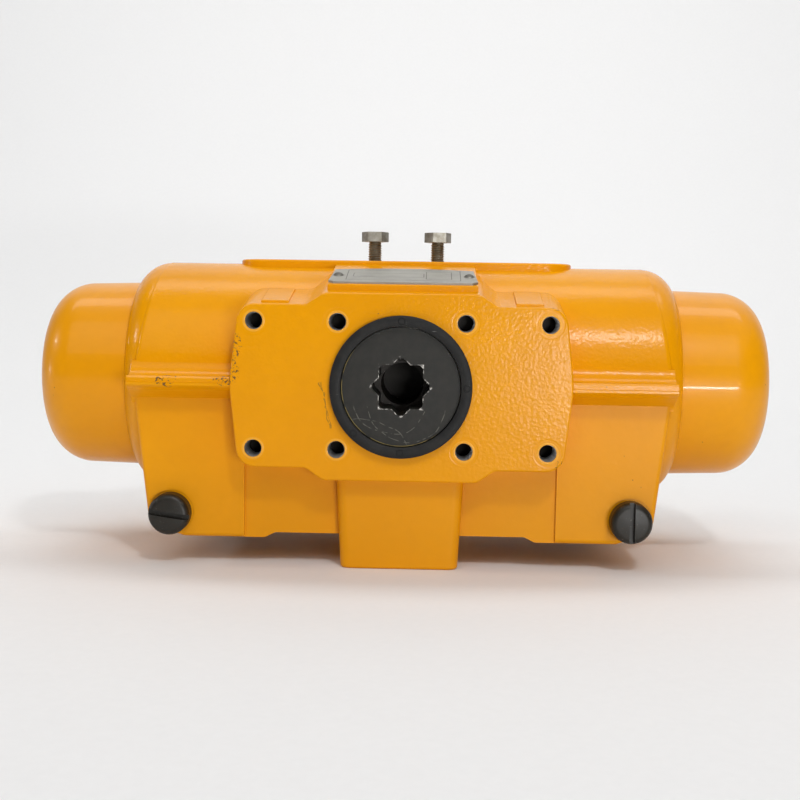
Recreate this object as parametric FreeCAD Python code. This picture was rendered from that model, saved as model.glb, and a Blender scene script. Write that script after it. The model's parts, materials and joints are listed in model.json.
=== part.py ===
"""Double-piston air actuator for quarter-turn valves, drawn piece by piece in millimetres.

The pieces are drawn about the point where the drive axis (Y) crosses the piston axis (X).
On export everything moves by flange_reach along Y, which puts the origin at the centre of
the valve flange face. +Z is up: the stop screws are on top, the air port pad is the foot.
"""
import FreeCAD, Part
import math
import os

V = FreeCAD.Vector

# Casting: round body along X with drafted ends, a flat-sided skirt below and a parting rib
body_radius = 48.0
body_half_length = 107.0
end_draft_deg = 6.4
end_vertex_radius = 40.0
shoulder_length = 11.8
shoulder_bulge = 1.5
shoulder_sink = 0.15
mouth_overhang = 4.8
mouth_lip = 0.8
skirt_depth = 60.2
skirt_draft_deg = 1.6
foot_height = 2.1
foot_inner_x = 54.0
foot_inset = 20.5
skirt_recess = 1.5
skirt_recess_half_length = 62.0
rib_reach = 9.1
rib_half_height = 2.2

# Bore, cups and pistons on the X axis
bore_radius = 38.0
cup_step = 1.4
cup_fit = 0.05
cup_engagement = 14.0
cup_length = 52.5
cup_wall = 4.5
cup_corner = 17.0
cup_draft_deg = 1.6
cup_ring_wire = 1.2
seal_half_width = 1.6
seal_depth = 3.0
seal_play = 0.3
piston_clearance = 0.4
piston_thickness = 16.0
running_gap = 0.05

# Drive: pinion on the Y axis, racks above and below it
gear_module = 2.0
gear_teeth = 20
pressure_angle_deg = 20.0
gear_backlash = 0.16
gear_inner_y = 7.0
gear_width = 20.0
turn_deg = 90.0
rack_spare_teeth = 1.5
lower_journal_radius = 23.0
upper_journal_radius = 14.0
shaft_end_radius = 10.0
shaft_end_height = 20.0
socket_across_flats = 17.0
socket_over_corners = 22.2
socket_depth = 20.0
stem_bore_radius = 8.5
stem_bore_depth = 30.0
cam_radius = 21.0
cam_flat = 12.0
cam_width = 12.0

# Valve flange on the front, square to the drive axis
flange_reach = 58.0
flange_half_length = 66.7
flange_ear_top = 31.2
flange_ear_bottom = 32.3
flange_crown_top = 35.8
flange_crown_bottom = 37.1
flange_crown_half = 30.0
flange_crown_run = 6.8
flange_corner = 7.5
flange_blend = 5.0
bolt_circle = 70.0
outer_bolt_x = 57.1
flange_thread_radius = 3.4
flange_thread_depth = 16.0
spigot_radius = 27.5
spigot_height = 3.0
spigot_bore_radius = 23.3
spigot_seat_depth = 5.0
spigot_relief_width = 1.0
spigot_relief_depth = 0.6
drive_recess = 0.3

# Air port pad under the body
port_pad_half_width = 23.3
port_pad_front = 50.5
port_pad_back = 30.0
port_pad_depth = 73.0
port_pad_corner = 4.0
port_pad_draft_deg = 3.0
port_spacing = 24.0
port_radius = 5.75
port_depth = 12.0
port_bolt_spacing = 32.0
small_thread_radius = 2.1
small_thread_depth = 9.0

# Gallery plugs, nameplate, top pad, stop screws, accessory pad
plug_inset = 15.8
plug_z = 52.4
plug_head_radius = 8.4
plug_head_height = 6.0
plug_shank_radius = 5.6
plug_shank_length = 9.0
plug_slot_width = 1.8
plug_slot_depth = 1.8
plug_bore_depth = 26.0
gallery_radius = 3.0
top_pad_length = 141.0
top_pad_width = 25.0
top_pad_rise = 1.7
plate_pad_front = 52.5
plate_pad_half_length = 29.3
plate_pad_rise = 2.2
plate_length = 58.4
plate_width = 24.0
plate_bulge = 3.0
plate_edge = 1.6
plate_over_body = 3.93
plate_thickness = 0.8
rivet_spacing = 52.0
stop_screw_spacing = 26.8
stop_screw_radius = 3.0
stop_screw_head_flats = 10.0
stop_screw_head_height = 4.1
stop_screw_free_length = 8.4
stop_tip_gap = 0.08
accessory_reach = 54.0
accessory_bolt_x = 80.0
accessory_bolt_z = 30.0
accessory_margin = 8.0
accessory_pad_depth = 24.0
washer_wall = 5.0

# Raised patches on the flange ears and pockets in the foot
ear_patch_width = 10.8
ear_patch_inset = 2.4
ear_patch_front = 55.0
ear_patch_back = 33.0
ear_patch_rise = 0.8
pocket_inner_x = 32.0
pocket_inset = 27.0
pocket_front = 12.0
pocket_back = 36.0
pocket_corner = 6.0
pocket_depth = 10.0

# Springs
spring_radius = 22.0
spring_wire_radius = 2.6
spring_turns = 6
spring_steps_per_turn = 18
spring_wire_sides = 8
spring_seat_depth = 4.0

# Sizes worked out from the ones above
pitch_radius = gear_module * gear_teeth / 2
stroke = pitch_radius * math.radians(turn_deg)
mouth_x = body_half_length + mouth_overhang
cup_seat_x = mouth_x - cup_engagement
cup_bore_radius = bore_radius + cup_step
cup_radius = cup_bore_radius - cup_fit
cup_end_x = cup_seat_x + cup_length
leg_half_teeth = gear_module * math.pi * rack_spare_teeth
leg_tip_x = stroke + leg_half_teeth
piston_inner_x = leg_tip_x + 2.0
piston_outer_x = piston_inner_x + piston_thickness
piston_radius = bore_radius - piston_clearance
bolt_half = bolt_circle / math.sqrt(2) / 2
screw_tip_z = cam_flat + stop_tip_gap
top_pad_z = body_radius + top_pad_rise
plug_x = body_half_length - plug_inset
foot_outer_x = body_half_length - foot_inset
spigot_seat_radius = spigot_radius - cup_fit
plate_front_y = -plate_pad_front + plate_edge
plate_back_y = plate_front_y + plate_width + plate_bulge
body_under_plate = math.sqrt(body_radius**2 - plate_back_y**2)
plate_climb = body_under_plate + plate_over_body - flange_crown_top - plate_pad_rise
top_slope = plate_climb / (flange_reach + plate_back_y)
socket_face_y = -flange_reach - drive_recess


def cylinder(radius, start, direction, length):
    return Part.makeCylinder(radius, length, V(*start), V(*direction))


def along_y(radius, y_low, y_high, x=0.0, z=0.0):
    return cylinder(radius, (x, y_low, z), (0, 1, 0), y_high - y_low)


def along_x(radius, x_low, x_high, y=0.0, z=0.0):
    return cylinder(radius, (x_low, y, z), (1, 0, 0), x_high - x_low)


def along_z(radius, z_low, z_high, x=0.0, y=0.0):
    return cylinder(radius, (x, y, z_low), (0, 0, 1), z_high - z_low)


def tube_y(inner, outer, y_low, y_high, x=0.0, z=0.0):
    return along_y(outer, y_low, y_high, x, z).cut(along_y(inner, y_low - 1, y_high + 1, x, z))


def tube_x(inner, outer, x_low, x_high):
    return along_x(outer, x_low, x_high).cut(along_x(inner, x_low - 1, x_high + 1))


def box(low, high):
    size = [b - a for a, b in zip(low, high)]
    return Part.makeBox(size[0], size[1], size[2], V(*low))


def mirrored_x(shape):
    return shape.mirror(V(0, 0, 0), V(1, 0, 0))


def both_sides(shape):
    return [shape, mirrored_x(shape)]


def rounded_wire(corners, place):
    """A closed outline from (u, v, corner radius) points; place turns (u, v) into a 3-D point."""
    count = len(corners)
    ends = []
    for index in range(count):
        u, v, radius = corners[index]
        before = FreeCAD.Vector(corners[index - 1][0] - u, corners[index - 1][1] - v, 0).normalize()
        after_corner = corners[(index + 1) % count]
        after = FreeCAD.Vector(after_corner[0] - u, after_corner[1] - v, 0).normalize()
        half_angle = before.getAngle(after) / 2
        run = radius / math.tan(half_angle)
        middle = (before + after).normalize() if radius else before
        to_arc = radius / math.sin(half_angle) - radius
        first = (u + before.x * run, v + before.y * run)
        peak = (u + middle.x * to_arc, v + middle.y * to_arc)
        last = (u + after.x * run, v + after.y * run)
        ends.append((first, peak, last, radius))
    edges = []
    for index in range(count):
        first, peak, last, radius = ends[index]
        if radius:
            edges.append(Part.Arc(place(*first), place(*peak), place(*last)).toShape())
        following = ends[(index + 1) % count][0]
        edges.append(Part.makeLine(place(*last), place(*following)))
    return Part.Wire(edges)


def extruded(corners, place, direction):
    return Part.Face(rounded_wire(corners, place)).extrude(V(*direction))


def on_edges(solid, wanted):
    """The edges whose middle point passes the test."""
    found = []
    for edge in solid.Edges:
        middle = edge.valueAt((edge.FirstParameter + edge.LastParameter) / 2)
        if wanted(middle, edge):
            found.append(edge)
    return found


def body_core():
    """Round-topped, flat-sided body: the end view and the front view of it, intersected."""
    wall_in = body_radius - (skirt_depth + foot_height) * math.tan(math.radians(skirt_draft_deg))
    bottom = -skirt_depth - foot_height
    half = body_half_length + 5
    crown = Part.Arc(V(-half, -body_radius, 0), V(-half, 0, body_radius), V(-half, body_radius, 0))
    sides = Part.makePolygon([
        V(-half, body_radius, 0), V(-half, wall_in, bottom), V(-half, -wall_in, bottom),
        V(-half, -body_radius, 0)])
    end_view = Part.Face(Part.Wire([crown.toShape()] + sides.Edges)).extrude(V(2 * half, 0, 0))

    lean = math.tan(math.radians(end_draft_deg))
    top = body_radius + 2
    corner_z = -(plug_z + 4.6)
    right = [
        (body_half_length - lean * top, top, 0), (body_half_length, 0, end_vertex_radius),
        (body_half_length + lean * corner_z, corner_z, 8), (foot_outer_x, bottom, 3),
        (foot_inner_x, bottom, 3), (foot_inner_x - 2 * foot_height, -skirt_depth, 3)]
    left = [(-x, z, radius) for x, z, radius in reversed(right)]
    front_view = extruded(right + left, lambda x, z: V(x, -top, z), (0, 2 * top, 0))
    core = end_view.common(front_view)
    return core.makeFillet(2.0, on_edges(core, is_end_edge))


def is_end_edge(middle, edge):
    """Edges where the drafted end walls meet the outside of the body."""
    lean = math.tan(math.radians(end_draft_deg))
    on_end = abs(abs(middle.x) - (body_half_length - lean * abs(middle.z))) < 0.5
    return on_end and abs(middle.y) > 10


def collar():
    """Rounded shoulder that closes the body down to the mouth of the cup bore."""
    start = V(mouth_x - shoulder_length, 0, body_radius - shoulder_sink)
    lip = V(mouth_x, 0, cup_bore_radius + mouth_lip)
    middle = V((start.x + lip.x) / 2 + shoulder_bulge, 0, (start.z + lip.z) / 2 + shoulder_bulge)
    inner_x = start.x - shoulder_length
    buried = V(inner_x, 0, bore_radius + 5)
    outline = [
        Part.Arc(start, middle, lip).toShape(), Part.makeLine(lip, V(mouth_x, 0, 0)),
        Part.makeLine(V(mouth_x, 0, 0), V(inner_x, 0, 0)),
        Part.makeLine(V(inner_x, 0, 0), buried), Part.makeLine(buried, start)]
    return Part.Face(Part.Wire(outline)).revolve(V(0, 0, 0), V(1, 0, 0), 360)


def flange_block():
    """Valve flange block: straight below, its ears and crown rising towards the body above."""
    lean = math.tan(math.radians(end_draft_deg))
    half = flange_half_length
    run = flange_crown_half + flange_crown_run
    right = [
        (flange_crown_half, flange_crown_top, flange_blend), (run, flange_ear_top, flange_blend),
        (half - lean * flange_ear_top, flange_ear_top, flange_corner), (half, 0, end_vertex_radius),
        (half - lean * flange_ear_bottom, -flange_ear_bottom, flange_corner),
        (run, -flange_ear_bottom, flange_blend), (flange_crown_half, -flange_crown_bottom, flange_blend)]
    outline = right + [(-x, z, radius) for x, z, radius in reversed(right)]
    depth = flange_reach - top_pad_width / 2

    def on_face(x, z):
        return V(x, -flange_reach, z)

    straight = extruded(outline, on_face, (0, depth, 0))
    rising = extruded(outline, on_face, (0, depth, depth * top_slope))
    block = straight.fuse(rising).removeSplitter()
    return block.makeFillet(0.8, on_edges(block, lambda middle, edge: abs(middle.y + flange_reach) < 0.01))


def skirt_y(z, sink=0.0):
    """Y of the drafted front wall of the skirt at height z, or of a surface sunk into it."""
    return -body_radius - z * math.tan(math.radians(skirt_draft_deg)) + sink


def front_recess():
    """Shallow recess along the middle of the skirt's front wall."""
    half = skirt_recess_half_length
    low = -skirt_depth - 6
    high = -10.0
    section = Part.makePolygon([
        V(-half, -body_radius - 2, high), V(-half, skirt_y(high, skirt_recess), high),
        V(-half, skirt_y(low, skirt_recess), low), V(-half, -body_radius - 2, low),
        V(-half, -body_radius - 2, high)])
    return Part.Face(section).extrude(V(2 * half, 0, 0))


def casting_body():
    return body_core().cut(front_recess()).fuse(flange_block()).removeSplitter()


def rib(side):
    """Parting rib along one end of the body; side is -1 on the flange side, +1 on the back."""
    tip = body_radius + rib_reach
    root = body_radius - 0.7
    high = rib_half_height

    def at(y, z):
        return V(skirt_recess_half_length - 4, side * y, z)

    hollow = Part.Arc(at(root, 8.0), at(root + 2.2, 4.1), at(tip - 1.4, high + 0.4)).toShape()
    edge = Part.makePolygon([
        at(tip - 1.4, high + 0.4), at(tip - 0.5, high - 0.3), at(tip - 0.5, 0.3), at(tip, 0.0),
        at(tip, -0.9), at(tip - 0.8, 0.6 - high), at(root + 1.0, -6.2)])
    under = Part.Arc(at(root + 1.0, -6.2), at(root + 0.1, -7.0), at(root - 0.2, -8.6)).toShape()
    back = Part.makePolygon([at(root - 0.2, -8.6), at(root - 8, -8.6), at(root - 8, 8.0), at(root, 8.0)])
    profile = Part.Wire([hollow] + edge.Edges + [under] + back.Edges)
    length = body_half_length - skirt_recess_half_length + 4
    return Part.Face(profile).extrude(V(length, 0, 0))


def port_pad():
    """Drafted block under the body that carries the two air ports."""
    height = port_pad_depth - flange_ear_top
    spread = height * math.tan(math.radians(port_pad_draft_deg))
    half = port_pad_half_width
    pad = Part.makeWedge(-half, 0, -port_pad_back, -port_pad_back - spread, -half - spread,
                         half, height, port_pad_front, port_pad_front + spread, half + spread)
    pad.rotate(V(0, 0, 0), V(1, 0, 0), 90)
    pad.translate(V(0, 0, -port_pad_depth))
    pad = pad.makeFillet(port_pad_corner, on_edges(pad, lambda middle, edge: edge.Length < height * 1.1
                                                   and abs(middle.z + port_pad_depth - height / 2) < 0.1))
    return pad.makeFillet(1.2, on_edges(pad, lambda middle, edge: middle.z < -port_pad_depth + 0.01))


def top_pad():
    """Long raised pad with round ends along the crown of the body."""
    radius = top_pad_width / 2
    straight = top_pad_length / 2 - radius
    low = body_radius - 6
    pad = box((-straight, -radius, low), (straight, radius, top_pad_z))
    pad = pad.fuse([along_z(radius, low, top_pad_z, -straight), along_z(radius, low, top_pad_z, straight)])
    pad = pad.removeSplitter()
    return pad.makeFillet(1.0, on_edges(pad, lambda middle, edge: middle.z > top_pad_z - 0.01))


def slope_z(y, base):
    """Height at depth y of a surface that starts at base on the flange face and climbs backwards."""
    return base + (y + flange_reach) * top_slope


def sloped_pad(x_low, x_high, front, back, base, rise):
    """A raised patch on the sloping top of the flange block."""
    low = slope_z(-front, base) - 3
    section = Part.makePolygon([
        V(x_low, -front, low), V(x_low, -front, slope_z(-front, base) + rise),
        V(x_low, -back, slope_z(-back, base) + rise), V(x_low, -back, low), V(x_low, -front, low)])
    pad = Part.Face(section).extrude(V(x_high - x_low, 0, 0))
    return pad.makeFillet(0.5, on_edges(pad, lambda middle, edge: middle.z > low + 3 and middle.y < -back - 0.01))


def accessory_pad():
    half_x = accessory_bolt_x / 2 + accessory_margin
    half_z = accessory_bolt_z / 2 + accessory_margin
    corners = [(half_x, -half_z, accessory_margin), (half_x, half_z, accessory_margin),
               (-half_x, half_z, accessory_margin), (-half_x, -half_z, accessory_margin)]
    return extruded(corners, lambda x, z: V(x, accessory_reach, z), (0, -accessory_pad_depth, 0))


def blind_hole(x, z, y_face, inward, radius, depth):
    """A blind hole drilled along Y from a face; inward is the sign of the drilling direction."""
    return cylinder(radius, (x, y_face - inward, z), (0, inward, 0), depth + 1)


def flange_holes():
    holes = []
    for x in (-outer_bolt_x, -bolt_half, bolt_half, outer_bolt_x):
        for z in (-bolt_half, bolt_half):
            holes.append(blind_hole(x, z, -flange_reach, 1, flange_thread_radius, flange_thread_depth))
    return holes


def accessory_holes():
    holes = []
    for x in (-accessory_bolt_x / 2, accessory_bolt_x / 2):
        for z in (-accessory_bolt_z / 2, accessory_bolt_z / 2):
            holes.append(blind_hole(x, z, accessory_reach, -1, small_thread_radius, small_thread_depth))
    return holes


def air_passages():
    """Ports in the foot, the long gallery to both end chambers and its plugged drillings."""
    deep = -port_pad_depth - 1
    gallery_y = -body_radius + plug_bore_depth - 8
    half_port = port_spacing / 2
    cuts = []
    for x in (-half_port, half_port):
        cuts.append(along_z(port_radius, deep, -port_pad_depth + port_depth, x))
        for y in (-port_bolt_spacing / 2, port_bolt_spacing / 2):
            cuts.append(along_z(small_thread_radius, deep, -port_pad_depth + small_thread_depth, x, y))
    cuts.append(along_z(gallery_radius, -port_pad_depth + port_depth - 1, -bore_radius + 2, -half_port))
    cuts.append(along_z(gallery_radius, -port_pad_depth + port_depth - 1, -plug_z, half_port))
    cuts.append(along_y(gallery_radius, gallery_y, 0, half_port, -plug_z))
    cuts.append(along_x(gallery_radius, -plug_x, plug_x, gallery_y, -plug_z))
    riser_x = cup_seat_x - gallery_radius - 0.8
    for x in (-1, 1):
        cuts.append(along_y(plug_shank_radius + cup_fit, -body_radius - 4,
                            -body_radius + plug_bore_depth, x * plug_x, -plug_z))
        cuts.append(along_y(plug_head_radius + 0.6, plug_seat_y - 4, plug_seat_y, x * plug_x, -plug_z))
        cuts.append(along_z(gallery_radius - 0.5, -plug_z, -bore_radius / 2, x * riser_x, gallery_y))
    return cuts


def underside_pockets():
    outer_x = body_half_length - pocket_inset
    below = skirt_depth + foot_height + 1
    pocket = extruded(
        [(pocket_inner_x, -pocket_front, pocket_corner), (outer_x, -pocket_front, pocket_corner),
         (outer_x, pocket_back, pocket_corner), (pocket_inner_x, pocket_back, pocket_corner)],
        lambda x, y: V(x, y, -below), (0, 0, below - skirt_depth + pocket_depth))
    return both_sides(pocket)


def bores():
    """The piston bore, the stepped cup seats and the drive shaft's holes."""
    cuts = [along_x(bore_radius, -mouth_x - 1, mouth_x + 1)]
    for side in (1, -1):
        seat = cylinder(cup_bore_radius, (side * cup_seat_x, 0, 0), (side, 0, 0), cup_engagement + 2)
        cuts.append(seat)
        cuts.append(ring_x(cup_bore_radius - 1, cup_bore_radius + cup_ring_wire, side * cup_ring_x,
                           cup_ring_wire + cup_fit))
    cuts.append(along_y(spigot_seat_radius + cup_fit, -flange_reach - 1, -flange_reach + spigot_seat_depth))
    cuts.append(along_y(lower_bush_radius, -flange_reach, lower_bush_inner_y))
    cuts.append(along_y(lower_journal_radius + 1.0, -flange_reach, 0))
    cuts.append(along_y(cam_radius + 1.6, 0, thrust_seat_y))
    cuts.append(along_y(upper_journal_radius + 0.6, 0, accessory_reach + 1))
    cuts.append(along_y(upper_bush_radius, upper_bush_inner_y, accessory_reach + 1))
    for x in (-stop_screw_spacing / 2, stop_screw_spacing / 2):
        cuts.append(along_z(stop_screw_radius + running_gap, bore_radius - 4, top_pad_z + 1, x))
        cuts.append(along_z(stop_ring_radius, stop_ring_z, stop_ring_z + stop_ring_width, x))
    return cuts


def ring_x(inner, outer, x, half_width):
    """A square-section ring about the piston axis, centred on x."""
    return tube_x(inner, outer, x - half_width, x + half_width)


def housing():
    body = casting_body()
    ear_high = outer_bolt_x - ear_patch_inset
    ear_low = ear_high - ear_patch_width
    additions = [collar(), rib(-1), rib(1)]
    additions = additions + [mirrored_x(shape) for shape in additions]
    for low, high in ((ear_low, ear_high), (-ear_high, -ear_low)):
        additions.append(sloped_pad(low, high, ear_patch_front, ear_patch_back, flange_ear_top,
                                    ear_patch_rise))
    additions.append(sloped_pad(-plate_pad_half_length, plate_pad_half_length, plate_pad_front,
                                top_pad_width / 2 - 0.5, flange_crown_top, plate_pad_rise))
    additions.append(port_pad())
    additions.append(top_pad())
    additions.append(accessory_pad())
    body = body.fuse(additions)
    cuts = bores() + air_passages() + underside_pockets() + flange_holes() + accessory_holes()
    return body.cut(cuts).removeSplitter()


def spigot_ring():
    """Centring ring in the valve face; its register stands proud, behind it is a relief and the seat."""
    relief_end = -flange_reach + spigot_relief_width
    proud = tube_y(spigot_bore_radius, spigot_radius, -flange_reach - spigot_height, -flange_reach)
    relief = tube_y(spigot_bore_radius, spigot_radius - spigot_relief_depth, -flange_reach, relief_end)
    seat = tube_y(spigot_bore_radius, spigot_seat_radius, relief_end, -flange_reach + spigot_seat_depth)
    ring = proud.fuse([relief, seat]).removeSplitter()
    rims = on_edges(ring, lambda middle, edge: middle.y < -flange_reach - spigot_height + 0.01)
    return ring.makeChamfer(0.4, rims)


def end_cup():
    """Deep round-cornered cup that closes one end of the body and holds the spring."""
    draft = math.tan(math.radians(cup_draft_deg))
    wall_end_x = cup_end_x - cup_corner
    neck = cup_radius - 0.15
    outer_end = neck - (wall_end_x - mouth_x) * draft
    inner_start = cup_radius - cup_wall
    inner_end = outer_end - cup_wall
    turn = cup_corner * (1 - math.sqrt(0.5))
    inner_corner = cup_corner - cup_wall
    inner_turn = inner_corner * (1 - math.sqrt(0.5))
    face_x = cup_end_x - cup_wall
    outline = [
        Part.makeLine(V(cup_seat_x, 0, inner_start), V(cup_seat_x, 0, cup_radius)),
        Part.makeLine(V(cup_seat_x, 0, cup_radius), V(mouth_x - 1, 0, cup_radius)),
        Part.makeLine(V(mouth_x - 1, 0, cup_radius), V(mouth_x, 0, neck)),
        Part.makeLine(V(mouth_x, 0, neck), V(wall_end_x, 0, outer_end)),
        Part.Arc(V(wall_end_x, 0, outer_end), V(cup_end_x - turn, 0, outer_end - turn),
                 V(cup_end_x, 0, outer_end - cup_corner)).toShape(),
        Part.makeLine(V(cup_end_x, 0, outer_end - cup_corner), V(cup_end_x, 0, 0)),
        Part.makeLine(V(cup_end_x, 0, 0), V(face_x, 0, 0)),
        Part.makeLine(V(face_x, 0, 0), V(face_x, 0, inner_end - inner_corner)),
        Part.Arc(V(face_x, 0, inner_end - inner_corner),
                 V(face_x - inner_turn, 0, inner_end - inner_turn),
                 V(face_x - inner_corner, 0, inner_end)).toShape(),
        Part.makeLine(V(face_x - inner_corner, 0, inner_end), V(cup_seat_x, 0, inner_start))]
    cup = Part.Face(Part.Wire(outline)).revolve(V(0, 0, 0), V(1, 0, 0), 360)
    ring_groove = ring_x(cup_bore_radius - cup_ring_wire, cup_bore_radius + 1, cup_ring_x,
                         cup_ring_wire + cup_fit)
    seal_groove = ring_x(cup_radius - seal_depth, cup_radius + 1, cup_seal_x, seal_half_width + seal_play)
    return cup.cut([ring_groove, seal_groove])


def cup_seal():
    return ring_x(cup_radius - seal_depth, cup_radius, cup_seal_x, seal_half_width)


def cup_ring():
    return ring_x(cup_bore_radius - cup_ring_wire, cup_bore_radius + cup_ring_wire, cup_ring_x, cup_ring_wire)


def involute(angle):
    return math.tan(angle) - angle


def half_tooth(radius):
    """Half the angle that a pinion tooth takes up at a radius."""
    pressure = math.radians(pressure_angle_deg)
    at_radius = math.acos(min(1.0, base_radius / radius))
    thickness = math.pi * gear_module / 2 - gear_backlash
    return thickness / (2 * pitch_radius) + involute(pressure) - involute(at_radius)


def polar(radius, angle, y):
    return V(radius * math.cos(angle), y, radius * math.sin(angle))


def gear_band(y):
    """One toothed band of the pinion, with involute flanks, from y over the gear width."""
    tip = pitch_radius + gear_module
    root = pitch_radius - 1.25 * gear_module
    middle = (base_radius + tip) / 2
    step = 2 * math.pi / gear_teeth
    low = half_tooth(base_radius)
    edges = []
    for tooth in range(gear_teeth):
        at = tooth * step
        start = polar(root, at - low, y)
        foot = polar(base_radius, at - low, y)
        edges.append(Part.makeLine(start, foot))
        edges.append(Part.Arc(foot, polar(middle, at - half_tooth(middle), y),
                              polar(tip, at - half_tooth(tip), y)).toShape())
        edges.append(Part.Arc(polar(tip, at - half_tooth(tip), y), polar(tip, at, y),
                              polar(tip, at + half_tooth(tip), y)).toShape())
        edges.append(Part.Arc(polar(tip, at + half_tooth(tip), y),
                              polar(middle, at + half_tooth(middle), y),
                              polar(base_radius, at + low, y)).toShape())
        edges.append(Part.makeLine(polar(base_radius, at + low, y), polar(root, at + low, y)))
        edges.append(Part.Arc(polar(root, at + low, y), polar(root, at + step / 2, y),
                              polar(root, at + step - low, y)).toShape())
    return Part.Face(Part.Wire(edges)).extrude(V(0, gear_width, 0))


def stop_cam():
    """Sector between the gear bands whose two flats meet the stop screws at the ends of the turn."""
    low = -cam_width / 2
    high = cam_width / 2
    reach = cam_radius + 1
    below = box((-cam_flat, low, -reach), (reach, high, 0))
    beside = box((0, low, -reach), (reach, high, cam_flat))
    sector = below.fuse(beside).common(along_y(cam_radius, low, high))
    return sector.fuse(along_y(cam_flat, low - 1, high + 1))


def drive_socket():
    """Double-square socket for the valve stem, its corners cut to the standard diameter."""
    half = socket_across_flats / 2
    front = socket_face_y - 1
    square = box((-half, front, -half), (half, socket_face_y + socket_depth, half))
    turned = square.copy()
    turned.rotate(V(0, 0, 0), V(0, 1, 0), 45)
    rounding = along_y(socket_over_corners / 2, front, socket_face_y + socket_depth)
    bottom = socket_face_y + socket_depth + stem_bore_depth
    relief = along_y(stem_bore_radius, front, bottom)
    return square.fuse(turned).common(rounding).fuse(relief)


def pinion():
    """Drive shaft in one piece: socket, two toothed bands, stop cam and accessory end."""
    band_end = gear_inner_y + gear_width
    journal_end = -band_end - 2
    parts = [along_y(lower_journal_radius, socket_face_y, journal_end),
             along_y(gear_root_radius, journal_end, -gear_inner_y),
             along_y(gear_root_radius, gear_inner_y, band_end + 2),
             gear_band(-band_end), gear_band(gear_inner_y), stop_cam(),
             along_y(upper_journal_radius, 0, accessory_reach + 4.5),
             along_y(shaft_end_radius, 0, accessory_reach + shaft_end_height)]
    shaft = parts[0].fuse(parts[1:])
    tip_y = accessory_reach + shaft_end_height
    flat = shaft_end_radius - 2.0
    cuts = [drive_socket(),
            groove_y(lower_journal_radius, lower_seal_y), groove_y(upper_journal_radius, upper_seal_y),
            tube_y(circlip_inner, upper_journal_radius + 1, circlip_y, circlip_y + circlip_width),
            box((-2, tip_y - 4, -20), (2, tip_y + 1, 20)),
            along_y(2.5, tip_y - 14, tip_y + 1)]
    for side in (1, -1):
        low = min(side * flat, side * 20)
        cuts.append(box((low, tip_y - 12, -20), (low + 20 - flat, tip_y + 1, 20)))
    return shaft.cut(cuts).removeSplitter()


def groove_y(radius, y):
    half = seal_half_width + seal_play
    return tube_y(radius - seal_depth, radius + 1, y - half, y + half)


def shaft_seal(radius, y):
    return tube_y(radius - seal_depth, radius, y - seal_half_width, y + seal_half_width)


def circlip():
    ring = tube_y(circlip_inner, circlip_inner + 4.2, circlip_y, circlip_y + circlip_width)
    opening = box((-2.5, circlip_y - 1, 0), (2.5, circlip_y + circlip_width + 1, 30))
    return ring.cut(opening)


def rack_finger(y_low, y_high):
    """One toothed finger of the right-hand piston; the teeth point down at the pinion."""
    root_z = pitch_radius + 1.25 * gear_module
    bar = box((-leg_tip_x, y_low, root_z), (piston_inner_x + 1, y_high, bore_radius))
    bar = bar.common(along_x(piston_radius, -leg_tip_x, piston_inner_x + 1))
    pitch = math.pi * gear_module
    slope = math.tan(math.radians(pressure_angle_deg))
    half_at_pitch = (pitch / 2 - gear_backlash) / 2
    half_tip = half_at_pitch - gear_module * slope
    half_root = half_at_pitch + 1.25 * gear_module * slope
    tip_z = pitch_radius - gear_module
    teeth = []
    count = int((leg_tip_x + leg_half_teeth) / pitch)
    for index in range(count):
        x = leg_half_teeth - index * pitch
        section = Part.makePolygon([
            V(x - half_root, y_low, root_z), V(x - half_tip, y_low, tip_z), V(x + half_tip, y_low, tip_z),
            V(x + half_root, y_low, root_z), V(x + half_root, y_low, root_z + 1),
            V(x - half_root, y_low, root_z + 1), V(x - half_root, y_low, root_z)])
        teeth.append(Part.Face(section).extrude(V(0, y_high - y_low, 0)))
    return bar.fuse(teeth)


def pad_blank(y_low, y_high, outer):
    """Wear pad of a rack finger: a strip of the bore's own curve."""
    start = -leg_tip_x + 4
    block = box((start, y_low, 0), (start + 30, y_high, bore_radius + 2))
    return tube_x(piston_radius - 1.4, outer, start, start + 30).common(block)


def finger_spans():
    low = gear_inner_y + 0.5
    high = gear_inner_y + gear_width - 0.5
    return [(low, high), (-high, -low)]


def piston():
    """Right-hand piston: a grooved head and a forked leg with a rack on each finger."""
    head = along_x(piston_radius, piston_inner_x, piston_outer_x)
    body = head.fuse([rack_finger(low, high) for low, high in finger_spans()])
    cuts = [ring_x(piston_radius - seal_depth, bore_radius + 1, piston_seal_x, seal_half_width + seal_play),
            tube_x(band_inner, bore_radius + 1, piston_band_x - 3, piston_band_x + 3),
            tube_x(spring_radius - 5, spring_radius + 5, piston_outer_x - spring_seat_depth, piston_outer_x + 1)]
    for low, high in finger_spans():
        cuts.append(pad_blank(low + 2, high - 2, bore_radius + 1))
    return body.cut(cuts).removeSplitter()


def rack_pads():
    pads = [pad_blank(low + 2, high - 2, bore_radius - running_gap) for low, high in finger_spans()]
    return Part.makeCompound(pads)


def piston_seal():
    return ring_x(piston_radius - seal_depth, bore_radius - running_gap, piston_seal_x, seal_half_width)


def piston_band():
    return tube_x(band_inner, bore_radius - running_gap, piston_band_x - 3, piston_band_x + 3)


def wire_section(along, turn):
    """Outline of the spring wire where the coil has turned by an angle, at a distance along it."""
    outline = []
    for index in range(spring_wire_sides + 1):
        corner = 2 * math.pi * index / spring_wire_sides
        radius = spring_radius + spring_wire_radius * math.cos(corner)
        x = along + spring_wire_radius * math.sin(corner)
        outline.append(V(x, radius * math.cos(turn), radius * math.sin(turn)))
    return Part.makePolygon(outline)


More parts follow.
